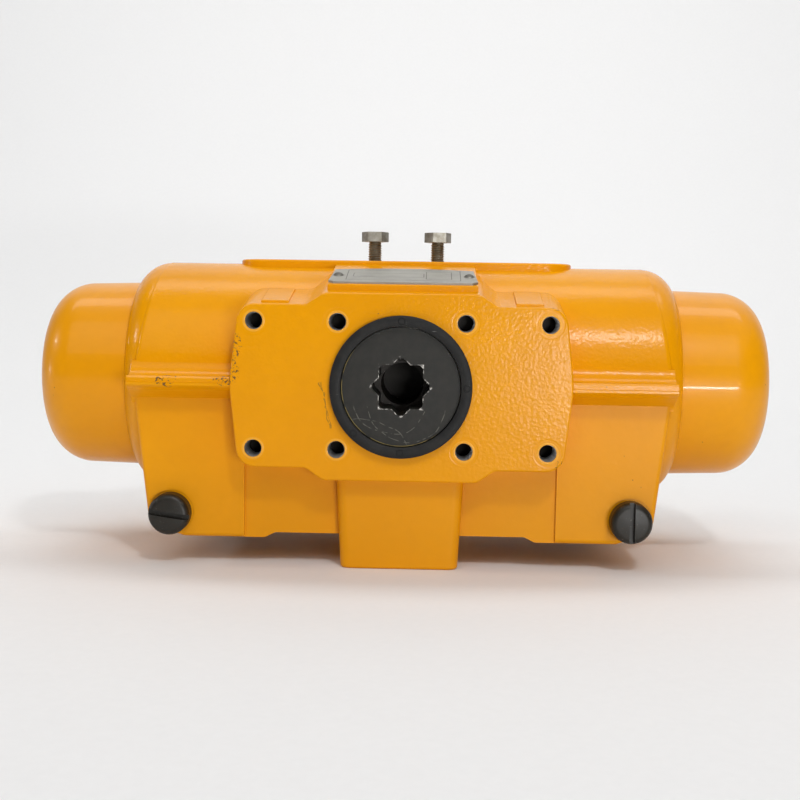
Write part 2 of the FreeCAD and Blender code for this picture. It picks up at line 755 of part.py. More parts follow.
def spring():
    """Coil spring between the piston's pocket and the bottom of the cup."""
    start = piston_outer_x - spring_seat_depth + spring_wire_radius
    end = cup_end_x - cup_wall - spring_wire_radius
    steps = spring_turns * spring_steps_per_turn
    sections = []
    for step in range(steps + 1):
        turn = 2 * math.pi * step / spring_steps_per_turn
        sections.append(wire_section(start + (end - start) * step / steps, turn))
    return Part.makeLoft(sections, True, True)


def stop_screw(x, turn):
    """Hexagon-headed set screw whose tip meets the cam."""
    head_z = top_pad_z + stop_screw_free_length
    corner = stop_screw_head_flats / math.sqrt(3)
    points = []
    for index in range(7):
        angle = math.radians(turn + 60 * index)
        points.append(V(x + corner * math.cos(angle), corner * math.sin(angle), head_z))
    head = Part.Face(Part.makePolygon(points)).extrude(V(0, 0, stop_screw_head_height))
    top = head_z + stop_screw_head_height
    dome = Part.makeCone(corner * 1.42, corner * 0.86, stop_screw_head_height * 0.6 + 0.6,
                         V(x, 0, top - stop_screw_head_height * 0.6), V(0, 0, 1))
    lower = along_z(corner + 1, head_z - 1, top - stop_screw_head_height * 0.6, x)
    head = head.common(dome.fuse(lower))
    shank = along_z(stop_screw_radius, screw_tip_z, head_z, x)
    tip = on_edges(shank, lambda middle, edge: middle.z < screw_tip_z + 0.01)
    return head.fuse(shank.makeChamfer(0.8, tip)).removeSplitter()


def stop_screw_seal(x):
    ring = along_z(stop_ring_radius, stop_ring_z, stop_ring_z + stop_ring_width, x)
    return ring.cut(along_z(stop_screw_radius + running_gap, stop_ring_z - 1, stop_ring_z + 4, x))


def gallery_plug(x, slot_turn):
    """Slotted screw plug on the front of the skirt."""
    seat_y = plug_seat_y
    head = along_y(plug_head_radius, seat_y - plug_head_height, seat_y - plug_seal_width, x, -plug_z)
    rim = on_edges(head, lambda middle, edge: middle.y < seat_y - plug_head_height + 0.01)
    head = head.makeChamfer(1.1, rim)
    shank = along_y(plug_shank_radius, seat_y - plug_seal_width, seat_y + plug_shank_length, x, -plug_z)
    half = plug_slot_width / 2
    slot = box((x - 20, seat_y - plug_head_height - 1, -plug_z - half),
               (x + 20, seat_y - plug_head_height + plug_slot_depth, -plug_z + half))
    slot.rotate(V(x, 0, -plug_z), V(0, 1, 0), slot_turn)
    return head.fuse(shank).cut(slot)


def plug_seal(x):
    return tube_y(plug_shank_radius + 0.1, plug_head_radius - 0.6, plug_seat_y - plug_seal_width, plug_seat_y,
                  x, -plug_z)


def nameplate_point(u, v, lift=0.0):
    """Point on the nameplate's seat: u along X, v up the slope from its front edge."""
    slope = math.atan(top_slope)
    y = plate_front_y + v * math.cos(slope) - lift * math.sin(slope)
    seat = slope_z(plate_front_y, flange_crown_top) + plate_pad_rise
    return V(u, y, seat + v * math.sin(slope) + lift * math.cos(slope))


def nameplate():
    """Bare aluminium plate with a bowed back edge."""
    half = plate_length / 2
    back = half - 1.2
    corner = 2.0
    points = [nameplate_point(-half + corner, 0), nameplate_point(half - corner, 0),
              nameplate_point(half, corner), nameplate_point(back, plate_width)]
    edges = [Part.makeLine(points[0], points[1]), Part.makeLine(points[1], points[2]),
             Part.makeLine(points[2], points[3]),
             Part.Arc(points[3], nameplate_point(0, plate_width + plate_bulge),
                      nameplate_point(-back, plate_width)).toShape(),
             Part.makeLine(nameplate_point(-back, plate_width), nameplate_point(-half, corner)),
             Part.makeLine(nameplate_point(-half, corner), points[0])]
    lift = nameplate_point(0, 0, plate_thickness) - nameplate_point(0, 0)
    plate = Part.Face(Part.Wire(edges)).extrude(lift)
    holes = []
    for x in (-rivet_spacing / 2, rivet_spacing / 2):
        holes.append(rivet_pin(x, 1.1))
    return plate.cut(holes)


def rivet_pin(x, radius):
    base = nameplate_point(x, plate_width / 2, -0.5)
    direction = nameplate_point(x, plate_width / 2, 1.0) - base
    return Part.makeCylinder(radius, plate_thickness + 1.0, base, direction)


def rivets():
    pieces = []
    for x in (-rivet_spacing / 2, rivet_spacing / 2):
        top = nameplate_point(x, plate_width / 2, plate_thickness)
        centre = nameplate_point(x, plate_width / 2, plate_thickness - 1.2)
        direction = top - centre
        head = Part.makeSphere(2.4, centre, direction, 30, 90, 360)
        stem_base = nameplate_point(x, plate_width / 2, 0.0)
        stem = Part.makeCylinder(1.05, plate_thickness + 0.2, stem_base, direction)
        pieces.append(head.fuse(stem).removeSplitter())
    return Part.makeCompound(pieces)


# Places that several pieces share
base_radius = pitch_radius * math.cos(math.radians(pressure_angle_deg))
gear_root_radius = pitch_radius - 1.25 * gear_module
cup_ring_x = cup_seat_x + 9.4
cup_seal_x = cup_seat_x + 4.2
lower_bush_radius = lower_journal_radius + 2.5
lower_bush_inner_y = -flange_reach + spigot_seat_depth + 14.0
lower_seal_y = lower_bush_inner_y - 7.0
thrust_seat_y = gear_inner_y + gear_width + 4.0
upper_bush_radius = upper_journal_radius + 2.0
upper_bush_inner_y = thrust_seat_y + 4.5
upper_seal_y = upper_bush_inner_y + 8.0
circlip_inner = upper_journal_radius - 1.0
circlip_width = 1.5
washer_width = 1.5
circlip_y = accessory_reach + washer_width + 0.1
piston_seal_x = piston_inner_x + 4.5
piston_band_x = piston_inner_x + 11.5
band_inner = piston_radius - 1.6
stop_ring_width = 1.8
stop_ring_radius = stop_screw_radius + stop_ring_width
stop_ring_z = bore_radius + 5.0
plug_seal_width = 1.0
plug_seat_y = skirt_y(-plug_z, 0.3)


def turned_over(shape):
    """The left-hand twin: the same piece turned half round about the drive axis."""
    twin = shape.copy()
    twin.rotate(V(0, 0, 0), V(0, 1, 0), 180)
    return twin


def left_and_right(name, shape, twin):
    return {name + "_right": shape, name + "_left": twin(shape)}


def pieces():
    half_screws = stop_screw_spacing / 2
    bush_front = -flange_reach + spigot_seat_depth
    nodes = {
        "housing": housing(),
        "centring_ring": spigot_ring(),
        "pinion": pinion(),
        "pinion_seal_front": shaft_seal(lower_journal_radius, lower_seal_y),
        "pinion_seal_back": shaft_seal(upper_journal_radius, upper_seal_y),
        "pinion_circlip": circlip(),
        "pinion_bush_front": tube_y(lower_journal_radius + running_gap, lower_bush_radius,
                                    bush_front, lower_bush_inner_y),
        "pinion_bush_back": tube_y(upper_journal_radius + running_gap, upper_bush_radius,
                                   upper_bush_inner_y, accessory_reach),
        "thrust_washer": tube_y(upper_journal_radius + 0.3, cam_radius,
                                thrust_seat_y - 2.0 + running_gap, thrust_seat_y),
        "shaft_washer": tube_y(upper_journal_radius + 0.2, upper_journal_radius + washer_wall,
                               accessory_reach, accessory_reach + washer_width),
        "nameplate": nameplate(),
        "nameplate_rivets": rivets(),
        "stop_screw_left": stop_screw(-half_screws, 0),
        "stop_screw_right": stop_screw(half_screws, 9),
        "stop_screw_seals": Part.makeCompound([stop_screw_seal(x) for x in (-half_screws, half_screws)]),
        "gallery_plug_left": gallery_plug(-plug_x, 8),
        "gallery_plug_right": gallery_plug(plug_x, 90),
        "gallery_plug_seals": Part.makeCompound([plug_seal(-plug_x), plug_seal(plug_x)]),
    }
    nodes.update(left_and_right("end_cup", end_cup(), mirrored_x))
    nodes.update(left_and_right("cup_seal", cup_seal(), mirrored_x))
    nodes.update(left_and_right("cup_retaining_ring", cup_ring(), mirrored_x))
    nodes.update(left_and_right("spring", spring(), turned_over))
    nodes.update(left_and_right("piston", piston(), turned_over))
    nodes.update(left_and_right("piston_seal", piston_seal(), turned_over))
    nodes.update(left_and_right("piston_guide_band", piston_band(), turned_over))
    nodes.update(left_and_right("rack_pads", rack_pads(), turned_over))
    return nodes


def main():
    os.makedirs("parts", exist_ok=True)
    for name, shape in pieces().items():
        shape.translate(V(0, flange_reach, 0))
        shape.exportStep("parts/" + name + ".step")
        print(name, shape.isValid(), len(shape.Solids), round(shape.Volume / 1000, 2))


main()
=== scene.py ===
# %% [markdown]
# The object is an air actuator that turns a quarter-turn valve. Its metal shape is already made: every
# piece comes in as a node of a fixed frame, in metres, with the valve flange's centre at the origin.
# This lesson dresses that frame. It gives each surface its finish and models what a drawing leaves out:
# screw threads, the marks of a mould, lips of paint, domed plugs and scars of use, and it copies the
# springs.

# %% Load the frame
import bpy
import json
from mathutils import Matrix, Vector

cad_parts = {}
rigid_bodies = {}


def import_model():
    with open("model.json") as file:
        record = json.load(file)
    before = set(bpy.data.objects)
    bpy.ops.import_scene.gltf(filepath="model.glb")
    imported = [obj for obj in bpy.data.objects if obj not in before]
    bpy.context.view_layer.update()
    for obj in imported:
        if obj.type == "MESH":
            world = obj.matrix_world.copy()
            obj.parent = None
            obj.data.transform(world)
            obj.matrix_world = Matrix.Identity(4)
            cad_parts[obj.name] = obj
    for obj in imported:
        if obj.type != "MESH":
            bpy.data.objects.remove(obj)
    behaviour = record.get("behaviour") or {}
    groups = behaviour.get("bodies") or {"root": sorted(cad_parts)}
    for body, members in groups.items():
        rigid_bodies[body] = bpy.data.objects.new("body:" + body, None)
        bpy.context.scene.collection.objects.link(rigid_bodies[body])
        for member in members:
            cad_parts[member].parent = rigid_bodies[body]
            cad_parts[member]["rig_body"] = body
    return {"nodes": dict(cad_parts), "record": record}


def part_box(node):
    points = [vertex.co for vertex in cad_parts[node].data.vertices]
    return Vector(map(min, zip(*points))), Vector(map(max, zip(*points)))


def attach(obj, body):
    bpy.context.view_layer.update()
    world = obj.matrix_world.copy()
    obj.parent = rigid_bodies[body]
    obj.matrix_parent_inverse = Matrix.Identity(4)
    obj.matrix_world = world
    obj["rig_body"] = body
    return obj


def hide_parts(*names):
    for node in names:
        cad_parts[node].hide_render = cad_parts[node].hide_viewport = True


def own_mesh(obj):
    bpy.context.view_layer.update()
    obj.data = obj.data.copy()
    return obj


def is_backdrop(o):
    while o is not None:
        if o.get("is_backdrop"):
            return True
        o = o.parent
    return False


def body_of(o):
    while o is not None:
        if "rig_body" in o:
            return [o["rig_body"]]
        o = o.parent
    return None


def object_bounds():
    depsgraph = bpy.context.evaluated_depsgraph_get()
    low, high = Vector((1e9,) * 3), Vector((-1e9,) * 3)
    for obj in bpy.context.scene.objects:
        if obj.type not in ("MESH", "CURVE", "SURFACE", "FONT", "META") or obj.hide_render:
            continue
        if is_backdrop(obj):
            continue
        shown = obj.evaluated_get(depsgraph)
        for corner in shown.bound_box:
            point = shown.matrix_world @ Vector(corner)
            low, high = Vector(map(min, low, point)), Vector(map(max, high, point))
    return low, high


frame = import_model()
cad_low, cad_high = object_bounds()
print("nodes:", len(frame["nodes"]), "size:", [round(v, 4) for v in cad_high - cad_low])

# %% Import what the lesson uses
import json
import math

import bmesh
import bpy
from mathutils import Matrix, Vector

MM = 0.001

# %% [markdown]
# The camera stands about half a metre in front of the flange, a little above it and turned slightly,
# with a lens of 55 mm. It was fitted to the eight flange holes, whose spacing is taken as a standard.
# The fit leaves the distance open, so half a metre is a choice. The three axes are worked out one by one,
# because a track constraint would give no roll.

# %% Camera
CAMERA_PLACE = Vector((0.0114, -0.470, 0.0335))
CAMERA_YAW = math.radians(-1.42)
CAMERA_PITCH = math.radians(4.68)
CAMERA_ROLL = math.radians(-0.92)
FOCAL_PIXELS = 1222.8
PHOTO_PIXELS = 800
SENSOR_MM = 36.0
NEAREST_SEEN = 0.01


def camera_axes(yaw, pitch, roll):
    """Right, down and forward directions of a camera that looks along +Y."""
    forward = Vector((math.sin(yaw) * math.cos(pitch), math.cos(yaw) * math.cos(pitch), -math.sin(pitch)))
    level = Vector((math.cos(yaw), -math.sin(yaw), 0))
    below = forward.cross(level)
    right = level * math.cos(roll) + below * math.sin(roll)
    down = below * math.cos(roll) - level * math.sin(roll)
    return right, down, forward


right, down, forward = camera_axes(CAMERA_YAW, CAMERA_PITCH, CAMERA_ROLL)
camera_turn = Matrix((right, -down, -forward)).transposed().to_4x4()
camera = bpy.data.objects.new("camera", bpy.data.cameras.new("camera"))
camera.data.sensor_width = SENSOR_MM
camera.data.lens = SENSOR_MM * FOCAL_PIXELS / PHOTO_PIXELS
camera.data.clip_start = NEAREST_SEEN
camera.matrix_world = Matrix.Translation(CAMERA_PLACE) @ camera_turn
bpy.context.scene.collection.objects.link(camera)
bpy.context.scene.camera = camera
print("lens:", round(camera.data.lens, 2), "mm")

# %% [markdown]
# The part stands on a white sheet that curves up behind it, as in a product photograph. A bent sheet
# could be a profile curve, but two extrusions and a bevel of the fold are enough.

# %% Stage
SHEET_HALF_WIDTH = 5.0
SHEET_FRONT = -6.0
SHEET_BACK = 1.2
SHEET_HEIGHT = 2.4
SHEET_FOLD_RADIUS = 0.6
SHEET_FOLD_STEPS = 16


def extrude_edges(bm, edges, step):
    """Extrudes edges by a step and returns the edges at the far end."""
    made = bmesh.ops.extrude_edge_only(bm, edges=edges)["geom"]
    verts = [item for item in made if isinstance(item, bmesh.types.BMVert)]
    bmesh.ops.translate(bm, verts=verts, vec=step)
    return [item for item in made if isinstance(item, bmesh.types.BMEdge)]


def backdrop_mesh(floor_z):
    """A floor that turns up into a wall behind the part."""
    bm = bmesh.new()
    ends = [bm.verts.new((x, SHEET_FRONT, floor_z)) for x in (-SHEET_HALF_WIDTH, SHEET_HALF_WIDTH)]
    front = [bm.edges.new(ends)]
    far = extrude_edges(bm, front, Vector((0, SHEET_BACK - SHEET_FRONT, 0)))
    fold = [edge for edge in far if all(abs(vert.co.y - SHEET_BACK) < MM for vert in edge.verts)]
    extrude_edges(bm, fold, Vector((0, 0, SHEET_HEIGHT)))
    bmesh.ops.bevel(bm, geom=fold, offset=SHEET_FOLD_RADIUS, segments=SHEET_FOLD_STEPS, profile=0.5,
                    affect="EDGES", material=-1)
    mesh = bpy.data.meshes.new("backdrop")
    bm.to_mesh(mesh)
    bm.free()
    mesh.shade_smooth()
    return mesh


floor = bpy.data.objects.new("backdrop", backdrop_mesh(cad_low.z))
bpy.context.scene.collection.objects.link(floor)
floor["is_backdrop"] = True
print("backdrop faces:", len(floor.data.polygons))

# %% [markdown]
# Soft light comes from two large dim panels, one overhead and one above and behind the camera. Large
# panels shade the forms and hardly show in the gloss. Small bright lamps make the glints, each put where
# the paint mirrors it to the camera: a window for the right shoulder, a low strip for the right rib and
# cup, and two lamps at the left for the left cup. A last panel above the part turns away from it and
# keeps the sheet behind it white. All are area lights, because their size decides how soft a shadow is.

# %% Lights
MIDDLE = (0, 0.05, 0)
BEHIND = (0.0, 1.2, 0.3)
SURROUND_COLOUR = (1.0, 0.99, 0.97, 1)
SURROUND_STRENGTH = 0.07
# each lamp's name, place, target, width, height and watts
LAMPS = (
    ("top_panel", (0.35, 0.0, 1.3), MIDDLE, 3.0, 2.0, 7),
    ("front_panel", (-0.2, -1.7, 1.9), MIDDLE, 3.0, 2.0, 20.5),
    ("window_panel", (0.24, -0.71, 0.83), MIDDLE, 0.10, 0.10, 2.6),
    ("low_strip", (0.37, -1.1, -0.045), MIDDLE, 0.40, 0.05, 4.2),
    ("left_lamp_high", (-1.13, -0.07, 0.49), MIDDLE, 0.06, 0.09, 1.4),
    ("left_lamp_low", (-1.24, 0.03, 0.03), MIDDLE, 0.04, 0.08, 0.6),
    ("backdrop_panel", (0.0, 0.45, 1.5), BEHIND, 2.0, 0.6, 14),
)


def add_lamp(name, place, target, width, height, watts):
    """A rectangular studio light that faces a point."""
    light = bpy.data.lights.new(name, "AREA")
    light.shape = "RECTANGLE"
    light.size = width
    light.size_y = height
    light.energy = watts
    lamp = bpy.data.objects.new(name, light)
    away = Vector(place) - Vector(target)
    lamp.matrix_world = Matrix.Translation(place) @ away.to_track_quat("Z", "Y").to_matrix().to_4x4()
    bpy.context.scene.collection.objects.link(lamp)


for lamp in LAMPS:
    add_lamp(*lamp)

world = bpy.data.worlds.new("surround")
world.use_nodes = True
surround = world.node_tree.nodes["Background"]
surround.inputs["Color"].default_value = SURROUND_COLOUR
surround.inputs["Strength"].default_value = SURROUND_STRENGTH
bpy.context.scene.world = world
bpy.context.scene.view_settings.view_transform = "Standard"
print("lamps:", len(LAMPS))

# %% [markdown]
# Finishes are written as arithmetic. One small class holds a node's output and overloads the operators,
# so that `1 - mask` adds its Math node by itself. Another holds a material and has the one method that
# adds any other node.

# %% A socket that does arithmetic


class Value:
    """An output of a node. Operators on it add Math nodes to its finish."""

    def __init__(self, finish, socket):
        self.finish = finish
        self.socket = socket

    def calculate(self, operation, *terms):
        """Adds a Math node for one operation."""
        return self.finish.node("ShaderNodeMath", {"operation": operation}, dict(enumerate(terms)))

    def __add__(self, other):
        return self.calculate("ADD", self, other)

    def __sub__(self, other):
        return self.calculate("SUBTRACT", self, other)

    def __mul__(self, other):
        return self.calculate("MULTIPLY", self, other)

    def __radd__(self, other):
        return self.calculate("ADD", other, self)

    def __rsub__(self, other):
        return self.calculate("SUBTRACT", other, self)

    def __rmul__(self, other):
        return self.calculate("MULTIPLY", other, self)

    def __pow__(self, power):
        return self.calculate("POWER", self, power)

    def __abs__(self):
        return self.calculate("ABSOLUTE", self)

    def sine(self):
        return self.calculate("SINE", self)

    def at_most(self, other):
        return self.calculate("MINIMUM", self, other)

    def at_least(self, other):
        return self.calculate("MAXIMUM", self, other)

    def between(self, low, high):
        """0 below low, 1 above high, and a smooth step from one to the other."""
        settings = {"interpolation_type": "SMOOTHSTEP"}
        inputs = {"Value": self, "From Min": low, "From Max": high}
        return self.finish.node("ShaderNodeMapRange", settings, inputs)


# %% Helpers for masks, distances and colours


def any_of(masks):
    """1 where at least one of the masks is 1."""
    union, *others = masks
    for mask in others:
        union = union.at_least(mask)
    return union


def radius_of(first, second):
    """Distance from the origin in the plane of two coordinates."""
    return (first * first + second * second) ** 0.5


def rgb(red, green, blue):
    """An opaque colour, in linear light."""
    return (red, green, blue, 1.0)


# %% A material with one node method


class Finish:
    """A material. node() adds nodes to it, and give() feeds them to its Principled shader."""

    def __init__(self, name, **constants):
        self.material = bpy.data.materials.new(name)
        self.material.use_nodes = True
        self.tree = self.material.node_tree
        self.shader = self.tree.nodes["Principled BSDF"]
        self.give(**constants)
        self.place = self.node("ShaderNodeTexCoord", output="Object")

    def node(self, kind, settings=None, inputs=None, output=0):
        """Adds a node: its settings first, then the values or links of its sockets."""
        made = self.tree.nodes.new(kind)
        for key, value in (settings or {}).items():
            setattr(made, key, value)
        for key, value in (inputs or {}).items():
            self.feed(made.inputs[key], value)
        return Value(self, made.outputs[output])

    def feed(self, socket, value):
        """Links a Value to a socket, or sets the socket to a constant."""
        if isinstance(value, Value):
            self.tree.links.new(value.socket, socket)
        else:
            socket.default_value = value

    def give(self, **sockets):
        """Feeds the shader's sockets. An underscore stands for the space in a socket's name."""
        for socket, value in sockets.items():
            self.feed(self.shader.inputs[socket.replace("_", " ")], value)

    def axes(self):
        """X, Y and Z of the object's own coordinates."""
        split = self.node("ShaderNodeSeparateXYZ", None, {"Vector": self.place}).socket.node
        return [Value(self, split.outputs[axis]) for axis in "XYZ"]

    def noise(self, size_mm, detail=2.0, roughness=0.5, stretch=(1, 1, 1)):
        """Soft random pattern whose lumps are about size_mm across."""
        scaled = self.node("ShaderNodeMapping", None, {"Vector": self.place, "Scale": stretch})
        inputs = {"Vector": scaled, "Scale": 1 / (size_mm * MM), "Detail": detail, "Roughness": roughness}
        return self.node("ShaderNodeTexNoise", None, inputs)

    def cells(self, size_mm, stretch=(1, 1, 1)):
        """Distance pattern of scattered points about size_mm apart."""
        scaled = self.node("ShaderNodeMapping", None, {"Vector": self.place, "Scale": stretch})
        return self.node("ShaderNodeTexVoronoi", None, {"Vector": scaled, "Scale": 1 / (size_mm * MM)})

    def mix(self, factor, first, second):
        """A colour between two colours."""
        return self.node("ShaderNodeMix", {"data_type": "RGBA"}, {0: factor, 6: first, 7: second}, 2)

    def bump(self, height, depth_mm, strength):
        """A normal that follows a height of 0 to 1 over a depth."""
        inputs = {"Height": height, "Distance": depth_mm * MM, "Strength": strength}
        return self.node("ShaderNodeBump", None, inputs)

    def spot(self, place_mm, radius_mm):
        """1 round a place of the object, fading to 0 at a radius."""
        place = [v * MM for v in place_mm]
        distance = self.node("ShaderNodeVectorMath", {"operation": "DISTANCE"}, {0: self.place, 1: place}, 1)
        return 1 - distance.between(radius_mm * 0.5 * MM, radius_mm * MM)

    def done(self):
        """Prints how many nodes the finish took, and gives its material."""
        print(self.material.name, "nodes:", len(self.tree.nodes))
        return self.material


# %% [markdown]
# The backdrop is paper: nearly white and matt, with a faint tooth that never shows as a pattern.

# %% Backdrop paper
PAPER_DARKER = rgb(0.80, 0.80, 0.80)
PAPER_LIGHTER = rgb(0.83, 0.83, 0.83)


def paper():
    finish = Finish("backdrop_paper", Roughness=0.9)
    tooth = finish.noise(3.0)
    finish.give(Base_Color=finish.mix(tooth, PAPER_DARKER, PAPER_LIGHTER))
    return finish.done()


floor.data.materials.append(paper())

# %% [markdown]
# Yellow enamel on cast aluminium. The real coat is thick and glossy: it runs over the sand texture of the
# casting, pools at the edges and gives a fine orange peel. A bump of small noise gives the peel, and low
# roughness turns each grain to a glint where a lamp grazes it. The spun cups are smoother, so they alone
# get a clear coat. The holes are drilled after painting, so their walls are bare metal, and a painted shade
# darkens them with depth. Each step from one zone to the next is a named pair: where it starts and ends.

# %% Where the drilled holes are
FLANGE_HOLE_X = (57.1 * MM, 24.749 * MM)
FLANGE_HOLE_Z = 24.749 * MM
HOLE_WALL = (3.42 * MM, 3.5 * MM)
HOLE_RIM = (4.1 * MM, 4.5 * MM)
HOLE_SMOOTH = (5.2 * MM, 5.8 * MM)
HOLE_MOUTH = (0.3 * MM, 0.7 * MM)
HOLE_DARK = (1.5 * MM, 7.0 * MM)
RIM_DEPTH = (0.3 * MM, 1.0 * MM)
FLANGE_BACK = (18 * MM, 19 * MM)


def flange_hole_distance(x, z):
    """Distance from the nearest of the eight flange holes' centre lines."""
    reach = abs(z) - FLANGE_HOLE_Z
    outer, inner = [radius_of(abs(x) - hole_x, reach) for hole_x in FLANGE_HOLE_X]
    return outer.at_most(inner)


def hole_walls(hole, y):
    """1 on the drilled walls of the flange holes, below the mouth."""
    return (1 - hole.between(*HOLE_WALL)) * (1 - y.between(*FLANGE_BACK)) * y.between(*HOLE_MOUTH)


def hole_rim_highlights(hole, y):
    """1 on a ring round the mouth of each flange hole, where a paler painted highlight goes."""
    return (1 - hole.between(*HOLE_RIM)) * (1 - y.between(*RIM_DEPTH))


print("flange holes:", [round(x / MM, 1) for x in FLANGE_HOLE_X], "mm from the middle, on either side")

# %% Where the cylinder is bare
BODY_AXIS_Y = 58.0 * MM
BORE_RADIUS = 38.0 * MM
BORE_HALF_LENGTH = 111.8 * MM
BORE_SKIN = (BORE_RADIUS + 1.6 * MM, BORE_RADIUS + 1.7 * MM)
BORE_END = (BORE_HALF_LENGTH, BORE_HALF_LENGTH + 0.1 * MM)


def cylinder_wall(x, y, z):
    """1 on the bored wall that the pistons run in."""
    bore = 1 - radius_of(y - BODY_AXIS_Y, z).between(*BORE_SKIN)
    return bore * (1 - abs(x).between(*BORE_END))


print("cylinder:", round(2 * BORE_RADIUS / MM, 1), "mm wide")

# %% [markdown]
# Scars are kept apart from the paint, so each one can be named. A scratch is the thin zero line of a
# slanting coordinate that a noise has shaken. A chip is a blot of noise inside a round spot.

# %% Chips
# places and radii in mm: two on the flange's left edge, two at its right corners, one on the left rib
CHIPS = (
    ((-68.0, 0.5, 15.0), 7.5),
    ((-68.5, 0.5, 5.0), 7.0),
    ((62.0, 0.5, -30.0), 3.0),
    ((59.0, 0.5, 31.5), 2.0),
    ((-91.7, 1.4, 2.2), 5.0),
)


def chips(finish):
    """Blots where the paint has come off on sharp edges."""
    blot = finish.noise(1.1, detail=3.0, roughness=0.6).between(0.55, 0.59)
    inside = any_of(finish.spot(place, radius) for place, radius in CHIPS)
    return blot * inside.between(0.05, 0.4)


print("chips:", len(CHIPS))

# %% Scratches
SCRATCH_TOP = Vector((-31.0, 0.0, 0.8)) * MM
SCRATCH_END = Vector((-27.0, 0.0, -16.0)) * MM
SCRATCH_LUMPS_MM = (6.0, 11.0)
SCRATCH_SWAY = 5 * MM
SCRATCH_WIDTH = (0.08 * MM, 0.30 * MM)
SCRATCH_FADE = 1 * MM
SCRATCH_DEPTH = (0, 0.5 * MM)


def scratches(finish, x, y, z):
    """Two tangled dark hairlines left of the centring ring."""
    slant = (SCRATCH_END - SCRATCH_TOP).normalized()
    run = (x - SCRATCH_TOP.x) * slant.x + (z - SCRATCH_TOP.z) * slant.z
    off = (x - SCRATCH_TOP.x) * slant.z - (z - SCRATCH_TOP.z) * slant.x
    length = (SCRATCH_END - SCRATCH_TOP).length
    within = run.between(-SCRATCH_FADE, 0) * (1 - run.between(length, length + SCRATCH_FADE))
    within = within * (1 - y.between(*SCRATCH_DEPTH))
    shaken = [off + (finish.noise(lump, detail=2.0) - 0.5) * SCRATCH_SWAY for lump in SCRATCH_LUMPS_MM]
    lines = any_of(1 - abs(line).between(*SCRATCH_WIDTH) for line in shaken)
    return lines * within * finish.noise(1.4).between(0.34, 0.52)


print("scratch:", round((SCRATCH_END - SCRATCH_TOP).length / MM, 1), "mm long")

# %% Colours of the enamel
ENAMEL = rgb(0.80, 0.325, 0.0)
ENAMEL_DEEP = rgb(0.75, 0.296, 0.0)
ENAMEL_CLOUD = rgb(0.68, 0.27, 0.002)
ENAMEL_PAINTED_SHADE = rgb(0.56, 0.22, 0.001)
ENAMEL_RIM_HIGHLIGHT = rgb(0.86, 0.48, 0.09)
DIRT = rgb(0.14, 0.075, 0.015)
SCAR = rgb(0.035, 0.028, 0.018)
HAIRLINE = rgb(0.10, 0.065, 0.02)
BARE_METAL = rgb(0.40, 0.42, 0.44)
HOLE_SHADE = rgb(0.020, 0.015, 0.010)
FOOT_SHADE = (-62 * MM, -20 * MM)


def paint_colour(finish, z, fine):
    """Yellow with broad and fine clouds, and a painted shade that darkens it towards the foot."""
    broad = finish.noise(60.0, detail=3.0)
    colour = finish.mix(broad.between(0.35, 0.65), ENAMEL, ENAMEL_DEEP)
    colour = finish.mix(fine.between(0.3, 0.75) * 0.2, colour, ENAMEL_CLOUD)
    # painted shade: the enamel darkens towards the foot
    low = 1 - z.between(*FOOT_SHADE)
    return finish.mix(low * 0.25, colour, ENAMEL_PAINTED_SHADE)


def dirt_specks(finish):
    """Scattered dark points in the paint."""
    points = finish.cells(5.5)
    return (1 - points.between(0.035, 0.06)) * finish.noise(14.0).between(0.56, 0.62)


print("fresh enamel:", ENAMEL[:3])

# %% Yellow enamel
CAST_END = (110 * MM, 112 * MM)
SKIRT_FRONT = (3 * MM, 5 * MM)
SKIRT_TOP = (-4 * MM, 4 * MM)


def enamel():
    finish = Finish("yellow_enamel", IOR=1.5, Specular_IOR_Level=0.18, Coat_Roughness=0.05, Coat_IOR=1.45)
    x, y, z = finish.axes()
    fine = finish.noise(4.0, detail=4.0)
    speck = dirt_specks(finish)
    scar = chips(finish)
    colour = paint_colour(finish, z, fine)
    colour = finish.mix(speck * 0.7, colour, DIRT)
    colour = finish.mix(scar * 0.85, colour, SCAR)
    colour = finish.mix(scratches(finish, x, y, z) * 0.6, colour, HAIRLINE)

    hole = flange_hole_distance(x, z)
    drilled = hole_walls(hole, y)
    metal = drilled.at_least(cylinder_wall(x, y, z))
    # painted shade: the drilled walls turn dark with depth
    deep = drilled * y.between(*HOLE_DARK)
    # painted highlight: a paler ring round the mouth of each flange hole
    colour = finish.mix(hole_rim_highlights(hole, y) * 0.35, colour, ENAMEL_RIM_HIGHLIGHT)
    colour = finish.mix(metal, colour, BARE_METAL)
    colour = finish.mix(deep, colour, HOLE_SHADE)

    cast = 1 - abs(x).between(*CAST_END)
    skirt = y.between(*SKIRT_FRONT) * (1 - z.between(*SKIRT_TOP)) * cast
    smooth = 1 - hole.between(*HOLE_SMOOTH)
    grain = finish.noise(1.3, detail=1.5, roughness=0.4)
    waves = finish.noise(7.0, detail=2.0)
    height = grain * (1 - smooth * 0.9) * (cast * 0.7 + 0.3 - skirt * 0.7) + waves * cast * 0.9 - scar * 0.6
    roughness = 0.30 - cast * 0.12 + skirt * 0.16 + metal * 0.2 + fine * 0.05 + speck * 0.3 + scar * 0.3
    finish.give(Base_Color=colour, Metallic=metal * (1 - deep), Roughness=roughness,
                Coat_Weight=(1 - metal) * (1 - cast) * 0.22, Normal=finish.bump(height, 0.12, 0.75))
    return finish.done()


FINISHES = {"body_paint": enamel()}
